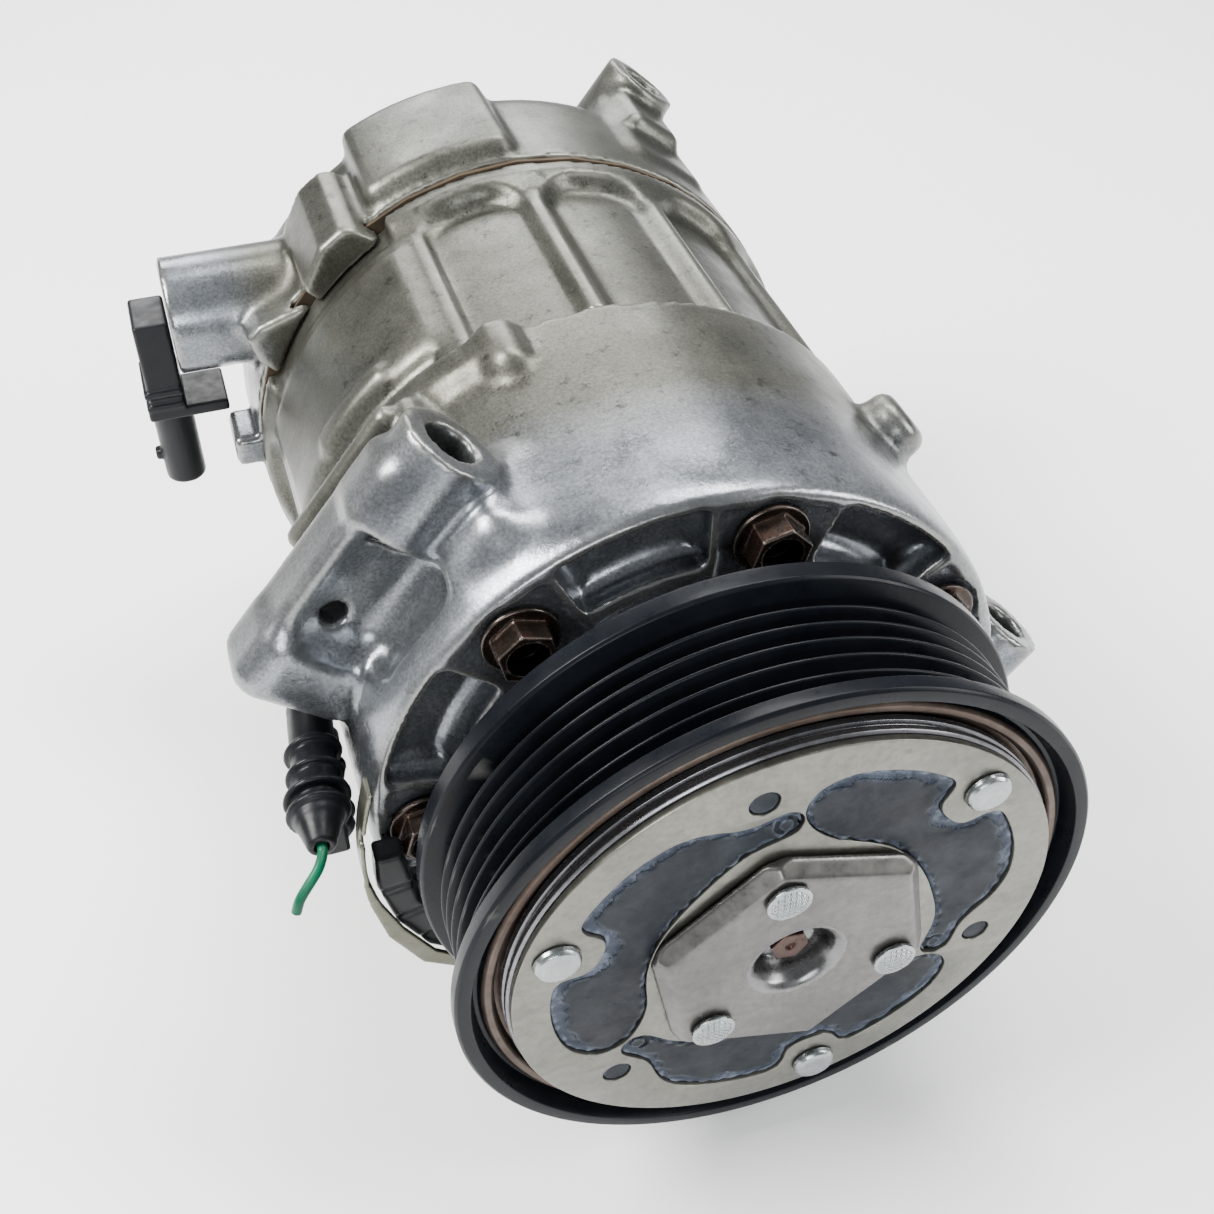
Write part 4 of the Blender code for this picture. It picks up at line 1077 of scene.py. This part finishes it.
def pad_fields(x, z):
    """Depth inside the nearest window, and depth inside the raised middle of its pad, which sits off
    centre."""
    radius = np.hypot(x, z)
    turn = folded(x, z, WINDOW_ANGLE, THIRD)
    shift = np.radians(np.where(turn > 50.0, turn - THIRD, turn))
    fx, fz = radius * np.cos(shift), radius * np.sin(shift)
    outline = window_points(0.0)
    wave = 0.35 * np.sin(x * 1.1 + 1.9 * np.sin(z * 0.7)) + 0.22 * np.sin(z * 2.3 + x * 0.9)
    window = -polygon_distance(fx, fz, outline)
    middle = -polygon_distance(fx + 0.9, fz + 0.2, outline) - 1.25 - wave
    return window, middle


def damper():
    """Rubber moulded through the windows, with a pale low border round a dark raised middle."""
    face = DRIVE_PLATE_Y
    c = Casting((-42.5, face - 0.6, -42.5), (42.5, 1.4, 42.5), 0.32)
    c.add(tube(25.2, 39.6, -0.2, 0.9), 0)

    def pads(x, y, z):
        window, middle = pad_fields(x, z)
        step = 1 / (1 + np.exp(-np.clip(middle / 0.16, -30, 30)))
        ragged = 0.5 + 0.5 * np.sin(x * 0.9 + 2.2 * np.sin(z * 0.55)) * np.sin(z * 1.3 - 0.8 * x)
        lip = np.exp(-(((window - 0.6) / 0.55) ** 2)) * ragged
        top = face + 0.85 - 0.60 * step - 0.50 * lip
        return np.maximum(0.08 - window, np.maximum(top - y, y - 0.3))

    c.add(pads, 0.1)
    c.add(ring_rods(HUB_ANGLE, THIRD, PLATE_HOLE_RADIUS, 2.42, face + 0.35, 0.5, 0.3), 0.1)
    c.cut(ring_rods(WINDOW_ANGLE, THIRD, PLATE_RIVET_RADIUS, 4.4, -5, 5), 0.1)
    for i in range(3):
        angle = WINDOW_ANGLE + THIRD * i - 66.2
        c.cut(shaft_rod(angle, 31.1, 2.0, -4, face + 0.85, 0.1), 0.1)
        c.add(shaft_rod(angle, 31.1, 1.35, face + 0.35, 0.5, 0.2), 0.1)
    made = cast_object("damper_moulding", c, RUBBER, "armature", "slate_rubber", "damper_rubber")
    centres = np.array([polygon.center for polygon in made.data.polygons]) / MM
    window, middle = pad_fields(centres[:, 0], centres[:, 2])
    made.data.materials.append(DUSTY_RUBBER)
    border = (middle < 0.05) & (window > -0.2) & (centres[:, 1] < -0.3)
    made.data.polygons.foreach_set("material_index", border.astype(np.int32))
    return made


def armature():
    outline = [
        (29.0, 1.3), (40.3, 1.3), (40.3, -0.35), (46.6, -0.35), (47.0, 0.0), (47.0, 0.9),
        (46.4, 1.15), (46.4, 1.5),
    ]
    outline += [(47.1, 1.8), (47.1, 2.9), (46.8, 3.2), (29.0, 3.2)]
    turned_object(
        "armature_ring", outline, RING_STEEL, "armature", ["armature_plate"], 160, soft=0.12
    )


def hub():
    """The six-sided flange: flat face, sloped flats, and a smooth cup round the bolt."""
    c = Casting((-26.5, HUB_FACE_Y - 1.2, -26.5), (26.5, 1.6, 26.5), 0.36)
    face = HUB_FACE_Y
    outline = [
        (3.2, 1.6), (3.2, 0.7), (4.3, 0.6), (5.3, -0.1), (6.0, -1.4), (6.5, -3.0), (7.1, face + 1.1),
        (8.0, face + 0.3),
    ]
    outline += [(9.6, face), (24.6, face), (25.0, face + 0.4), (25.0, -2.4), (11.6, -2.4), (11.6, 1.6)]
    c.add(revolved(outline, 0.2), 0)

    def outside_flats(x, y, z):
        reach = hexagon_reach(x, z, HUB_ANGLE + 30.0)
        return np.minimum(22.6 - reach, (y - face + 20.3 - reach) * 0.7)

    c.cut(outside_flats, 0.4)
    c.cut(ring_rods(HUB_ANGLE, THIRD, HUB_RIVET_RADIUS, 2.5, -12, 5), 0.2)
    made = cast_object("hub_flange", c, HUB_STEEL, "shaft_assembly", "phosphated_steel", "clutch_hub")
    finish_faces(made, POLISHED, lambda x, y, z: math.hypot(x, z) < 8.6 and y > face + 0.15)
    sleeve = [(7.8, 3.0), (7.8, 17.0), (11.6, 17.0), (11.6, 1.0), (3.2, 1.0), (3.2, 3.0)]
    turned_object(
        "hub_sleeve", sleeve, HUB_STEEL, "shaft_assembly", segments=64, soft=0.2
    )
    return made


def rivets():
    """Smooth domed rivets on the plate, and waffled ones on the hub."""
    for i in range(3):
        place = spoke(WINDOW_ANGLE + THIRD * i, PLATE_RIVET_RADIUS)
        low = DRIVE_PLATE_Y
        outline = [
            (0.0, low - 1.75), (2.6, low - 1.72), (3.35, low - 1.5), (3.75, low - 1.0),
            (3.9, low - 0.35), (3.9, low - 0.28),
        ]
        outline += [(2.2, low - 0.28), (2.2, 2.9), (0.0, 2.9)]
        node = f"armature_rivet_{i + 1}"
        turned_object(
            f"plate_rivet_{i + 1}", outline, ZINC, "armature", [node], 40,
            tuple(place), soft=0.12,
        )
    top, c = HUB_FACE_Y - 1.55, Casting((-4.4, HUB_FACE_Y - 2.4, -4.4), (4.4, HUB_FACE_Y + 0.3, 4.4), 0.16)

    def head(x, y, z):
        waffle = 0.16 * (np.cos(x * 6.6) + np.cos(z * 6.6))
        dome = top + 0.030 * (x**2 + z**2) + waffle * (np.hypot(x, z) < 3.1)
        return np.maximum(
            rounded(0.5, np.hypot(x, z) - 3.75, between(y, top - 1, HUB_FACE_Y - 0.28)), dome - y
        )

    c.add(head, 0)
    vertices, quads = c.surface()
    for i in range(3):
        place = spoke(HUB_ANGLE + THIRD * i, HUB_RIVET_RADIUS)
        made = mesh_object(
            f"hub_rivet_head_{i + 1}",
            vertices + np.array(place),
            quads,
            ZINC,
            "shaft_assembly",
        )
        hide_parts(f"hub_rivet_{i + 1}")
        tail = [
            (0.0, HUB_FACE_Y - 0.6), (2.2, HUB_FACE_Y - 0.6), (2.2, 0.4), (3.6, 0.4), (3.6, 1.4), (0.0, 1.6)
        ]
        turned_object(
            f"hub_rivet_tail_{i + 1}",
            tail,
            ZINC,
            "shaft_assembly",
            (),
            32,
            tuple(place),
            soft=0.1,
        )


def clutch_bolt():
    """A small hexagon head with a dimple, deep in the hub's cup, and its shank."""
    c = Casting((-5.2, -4.2, -5.2), (5.2, 1.0, 5.2), 0.16)

    def head(x, y, z):
        body = rounded(0.2, hexagon_reach(x, z, 20.0) - 3.0, between(y, -2.6, 0.5))
        return np.maximum(body, np.hypot(x, z) * 0.5 - (y + 4.4) * 0.87)

    c.add(head, 0)
    c.cut(lambda x, y, z: np.sqrt(x**2 + z**2 + (y + 2.9) ** 2) - 0.95, 0.1)
    cast_object("clutch_bolt_head", c, BOLT_BROWN, "shaft_assembly", "brown_bolt", "clutch_bolt")
    shank = [(0.0, 0.3), (2.7, 0.3), (2.7, 15.5), (0.0, 15.5)]
    turned_object("clutch_bolt_shank", shank, BOLT_BROWN, "shaft_assembly", (), 24, soft=0.2)


def housing_bolts():
    """Flanged hexagon heads with deep round hollows."""
    seat = FRONT_FACE_Y + 1.0 - GAP
    c = Casting((-7.6, seat - 6.6, -7.6), (7.6, seat + 1.0, 7.6), 0.28)
    c.add(lambda x, y, z: rounded(0.35, np.hypot(x, z) - 6.7, between(y, seat - 1.1, seat)), 0)

    def hexagon(x, y, z):
        turn = (np.arctan2(z, x) + math.pi / 6) % (math.pi / 3) - math.pi / 6
        return rounded(0.3, np.hypot(x, z) * np.cos(turn) - 4.6, between(y, seat - 5.6, seat))

    c.add(hexagon, 0.7)

    def hollow(x, y, z):
        taper = np.hypot(x, z) - 3.55 + 0.12 * (y - seat + 5.6)
        return np.maximum(taper, between(y, seat - 9, seat - 1.6))

    c.cut(hollow, 0.25)
    vertices, quads = c.surface()
    for i in range(CYLINDERS):
        place = spoke(BOLT_ANGLE + STEP * i, BOLT_CIRCLE)
        turn = np.array(Matrix.Rotation(math.radians(17.0 + 31.0 * i), 3, "Y"))
        made = mesh_object(
            f"bolt_head_{i + 1}",
            vertices @ turn.T + np.array(place),
            quads,
            BOLT_DARK,
            "casing",
        )
        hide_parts(f"housing_bolt_{i + 1}")
        shank = [(0.0, seat - 1.2), (3.0, seat - 1.2), (3.0, 175.0), (0.0, 175.2)]
        turned_object(
            f"bolt_shank_{i + 1}", shank, BOLT_DARK, "casing", (), 20,
            tuple(place), soft=0.2,
        )


# Electrical pieces.
def valve_connector():
    """The control valve's plug: a flat block, a collar with ribs and a round socket with a latch."""
    x0 = VALVE_BOSS_END_X - GAP
    c = Casting((x0 - 10, 161, -14.5), (x0 + 11, 180, 33), 0.42)
    c.add(block((x0 - 7.6, x0), (163.5, 176.5), (10.0, 31.0), 0.7), 0)
    for z in (14.0, 10.6):
        c.add(block((x0 - 8.4, x0), (162.8, 177.2), (z - 0.8, z + 0.8), 0.4), 0.4)
    c.add(block((x0 - 8.4, x0 + 9.2), (163.0, 177.0), (7.2, 9.8), 0.5), 0.4)
    c.add(lambda x, y, z: rounded(0.7, np.hypot(x - x0 + 3.4, y - 170) - 4.5, between(z, -12.6, 9)), 0.6)
    c.add(block((x0 - 9.2, x0 - 6.8), (168.6, 171.4), (-7.0, -4.6), 0.5), 0.5)
    c.cut(lambda x, y, z: rounded(0.3, np.hypot(x - x0 + 3.4, y - 170) - 3.1, between(z, -20, -2)), 0.3)
    cast_object("valve_plug", c, BLACK_PLASTIC, "casing", "black_plastic", "control_valve_connector")


def plug_axis(y):
    """Where the coil's plug is centred, in x and z, at a distance along the shaft."""
    x, z = CONNECTOR_AXIS
    return x + 0.10 * (y - 50.0), z - 0.03 * (y - 50.0)


def coil_connector():
    """Two ribbed barrels side by side, and the boot that the wire leaves by."""
    x, z = CONNECTOR_AXIS
    c = Casting((x - 8, 33.0, z - 13), (x + 8.5, 70, z + 10), 0.34)

    def barrel(dx, dz, radius, low, high, edge):
        def shape(px, y, pz):
            cx, cz = plug_axis(y)
            return rounded(edge, np.hypot(px - cx - dx, pz - cz - dz) - radius, between(y, low, high))

        return shape

    def boot(px, y, pz):
        cx, cz = plug_axis(y)
        return rounded(0.5, np.hypot(px - cx, pz - cz) - 2.3 - 0.32 * (y - 34.5), between(y, 34.6, 42.0))

    c.add(barrel(0, 0, 4.1, 40.0, 68.0, 0.6), 0)
    c.add(barrel(1.6, -6.2, 3.0, 42.0, 66.0, 0.6), 0)
    for y, spread in ((42.2, 5.6), (45.4, 5.9), (50.6, 5.2), (56.0, 5.2)):
        c.add(barrel(0, 0, spread, y - 0.6, y + 0.6, 0.5), 0.5)
        c.add(barrel(1.6, -6.2, spread - 1.5, y + 0.9, y + 2.1, 0.5), 0.5)
    c.add(boot, 0.8)
    c.add(block((x - 1.0, x + 3.4), (41.5, 50.0), (z - 11.0, z - 1.0), 0.6), 0.4)
    c.cut(lambda px, y, pz: np.hypot(px, pz) - (BODY_RADIUS + 0.6), 0.2)
    c.cut(barrel(0, 0, 1.3, 30, 62, 0.1), 0.2)
    cast_object("coil_plug", c, BLACK_PLASTIC, "casing", "black_plastic", "coil_connector")


def block_behind_bracket():
    """A black moulded block behind the bracket, on the housing, with grooves across it."""
    c = Casting((-64, 33.6, -38), (-40, 40.0, 4), 0.4)
    outline = [(-60.4, 0.5), (-60.8, -7.0), (-58.4, -17.6), (-53.4, -27.0), (-46.4, -32.6), (-43.4, -30.0)]
    outline += [(-49.0, -24.0), (-54.0, -12.0), (-55.6, 0.5)]
    c.add(drawn(outline, 34.2, 39.4, 0.9), 0)
    for angle in (188.0, 196.0, 204.0, 212.0):
        c.cut(spoke_rod(angle, 34.0, 0.9, 50, 64, 0.3), 0.3)
    cast_object("black_block_behind_bracket", c, BLACK_PLASTIC, "casing", "black_plastic")


def connector_bracket():
    """A strip along the housing that bends into a flat arm below."""
    c = Casting((-65, 30.5, -42), (-38, 42, 22), 0.36)
    c.add(ring_block(174.5, 360.0, (62.1, 62.9), 12.5, (32.4, 37.6), 0.35), 0)
    arm = [
        (-63.0, -3.0), (-62.6, -9.0), (-60.4, -19.0), (-55.0, -29.2), (-47.5, -34.5), (-44.0, -31.6),
        (-47.6, -30.6),
    ]
    arm += [(-52.4, -26.6), (-57.4, -17.6), (-60.6, -9.0), (-62.0, -3.0)]
    c.add(drawn(arm, 32.4, 33.4, 0.35), 0.8)
    c.cut(ring_block(172.0, 360.0, (60, 66), 1.4, (31, 34.2), 0.4), 0.3)
    cast_object("bracket_strip", c, YELLOW_ZINC, "casing", "pale_yellow_zinc", "connector_bracket")


def coil_wire():
    """The green wire, on the same route as its CAD solid."""
    x, z = CONNECTOR_AXIS
    route = [
        (x, 60.0, z),
        (x - 0.2, 48.0, z),
        (x - 1.4, 36.0, z + 0.4),
        (x - 1.7, 33.6, z + 0.2),
        (x - 2.9, 31.2, z - 0.4),
    ]
    route += [(x - 4.9, 29.6, z - 1.8), (x - 6.8, 28.6, z - 3.8), (x - 7.8, 28.2, z - 6.2)]
    points = [Vector(point) for point in route]
    ends = [2 * points[0] - points[1]] + points + [2 * points[-1] - points[-2]]
    fine = []
    for a, b, c, d in zip(ends, ends[1:], ends[2:], ends[3:]):
        for i in range(6):
            fine.append(catmull_rom(a, b, c, d, i / 6))
    fine.append(points[-1])
    curve = bpy.data.curves.new("green_wire", "CURVE")
    curve.dimensions = "3D"
    curve.bevel_depth = WIRE_RADIUS * MM
    curve.bevel_resolution = 5
    curve.use_fill_caps = True
    spline = curve.splines.new("POLY")
    spline.points.add(len(fine) - 1)
    for point, place in zip(spline.points, fine):
        point.co = (*(place * MM), 1.0)
    curve.materials.append(GREEN)
    made = linked("green_wire", curve)
    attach(made, "casing")
    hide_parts("coil_wire")


def finish_cad_nodes():
    """Procedural finishes for the CAD pieces that stay."""
    finishes = {
        "machined_aluminium": MACHINED,
        "phosphated_steel": HUB_STEEL,
        "bright_steel": STEEL,
        "zinc_plate": ZINC,
        "dark_bolt_steel": BOLT_DARK,
        "brown_bolt": BOLT_BROWN,
        "slate_rubber": RUBBER,
        "black_plastic": BLACK_PLASTIC,
        "varnished_copper": COPPER,
        "brown_gasket": GASKET,
        "pale_yellow_zinc": YELLOW_ZINC,
        "green_insulation": GREEN,
        "cast_aluminium": CASTING,
        "black_paint": PAINT,
    }
    slots = {row["node"]: row["material_slot"] for row in frame["record"]["subparts"]}
    for name, node in frame["nodes"].items():
        for slot in node.material_slots:
            slot.material = finishes[slots[name]]


def camera():
    data = bpy.data.cameras.new("camera")
    data.sensor_width = 36.0
    data.lens = CAMERA_LENS
    data.clip_start, data.clip_end = 0.01, 20.0
    made = linked("camera", data)
    right, down, ahead = Vector(CAMERA_RIGHT), Vector(CAMERA_DOWN), Vector(CAMERA_AHEAD)
    turn = Matrix((right, -down, -ahead)).transposed().to_4x4()
    turn.translation = Vector(CAMERA_PLACE) * MM
    made.matrix_world = turn
    bpy.context.scene.camera = made


def area_light(name, place, target, size, power, colour=(1.0, 1.0, 1.0)):
    data = bpy.data.lights.new(name, "AREA")
    data.shape = "RECTANGLE"
    data.size, data.size_y = size
    data.energy = power
    data.color = colour
    made = linked(name, data)
    made.location = place
    made.rotation_mode = "QUATERNION"
    made.rotation_quaternion = (Vector(target) - Vector(place)).to_track_quat("-Z", "Y")


def studio():
    m = Nodes("floor", (0.93, 0.93, 0.93), 0.9)
    m.colour(m.ramp(m.noise(3, 2), (0.3, 0.92), (0.7, 0.94)))
    bpy.ops.mesh.primitive_plane_add(size=8, location=(0, 0, FLOOR_Z))
    floor = bpy.context.object
    floor.name = "floor"
    floor.data.materials.append(m.material)
    world = bpy.data.worlds.new("studio")
    bpy.context.scene.world = world
    world.use_nodes = True
    background = world.node_tree.nodes["Background"]
    background.inputs["Color"].default_value = (0.94, 0.96, 1.0, 1.0)
    background.inputs["Strength"].default_value = 0.42
    centre = (0.0, 0.08, 0.0)
    area_light("key", (-0.55, 0.15, 0.60), centre, (0.35, 0.35), 17.0, (1.0, 0.99, 0.97))
    area_light("overhead", (0.25, 0.35, 0.80), centre, (0.6, 0.25), 11.0)
    area_light("right", (0.8, -0.3, 0.45), centre, (0.3, 0.6), 8.0)
    area_light("front", (-0.25, -0.85, 0.40), (0.0, 0.0, 0.0), (0.5, 0.22), 6.0, (0.96, 0.98, 1.0))
    area_light("back", (0.1, 0.95, 0.50), centre, (0.7, 0.3), 8.0)


camera()
front_housing()
centre_housing()
rear_head()
pulley()
drive_plate()
damper()
armature()
hub()
rivets()
clutch_bolt()
housing_bolts()
valve_connector()
coil_connector()
connector_bracket()
block_behind_bracket()
coil_wire()
finish_cad_nodes()
studio()
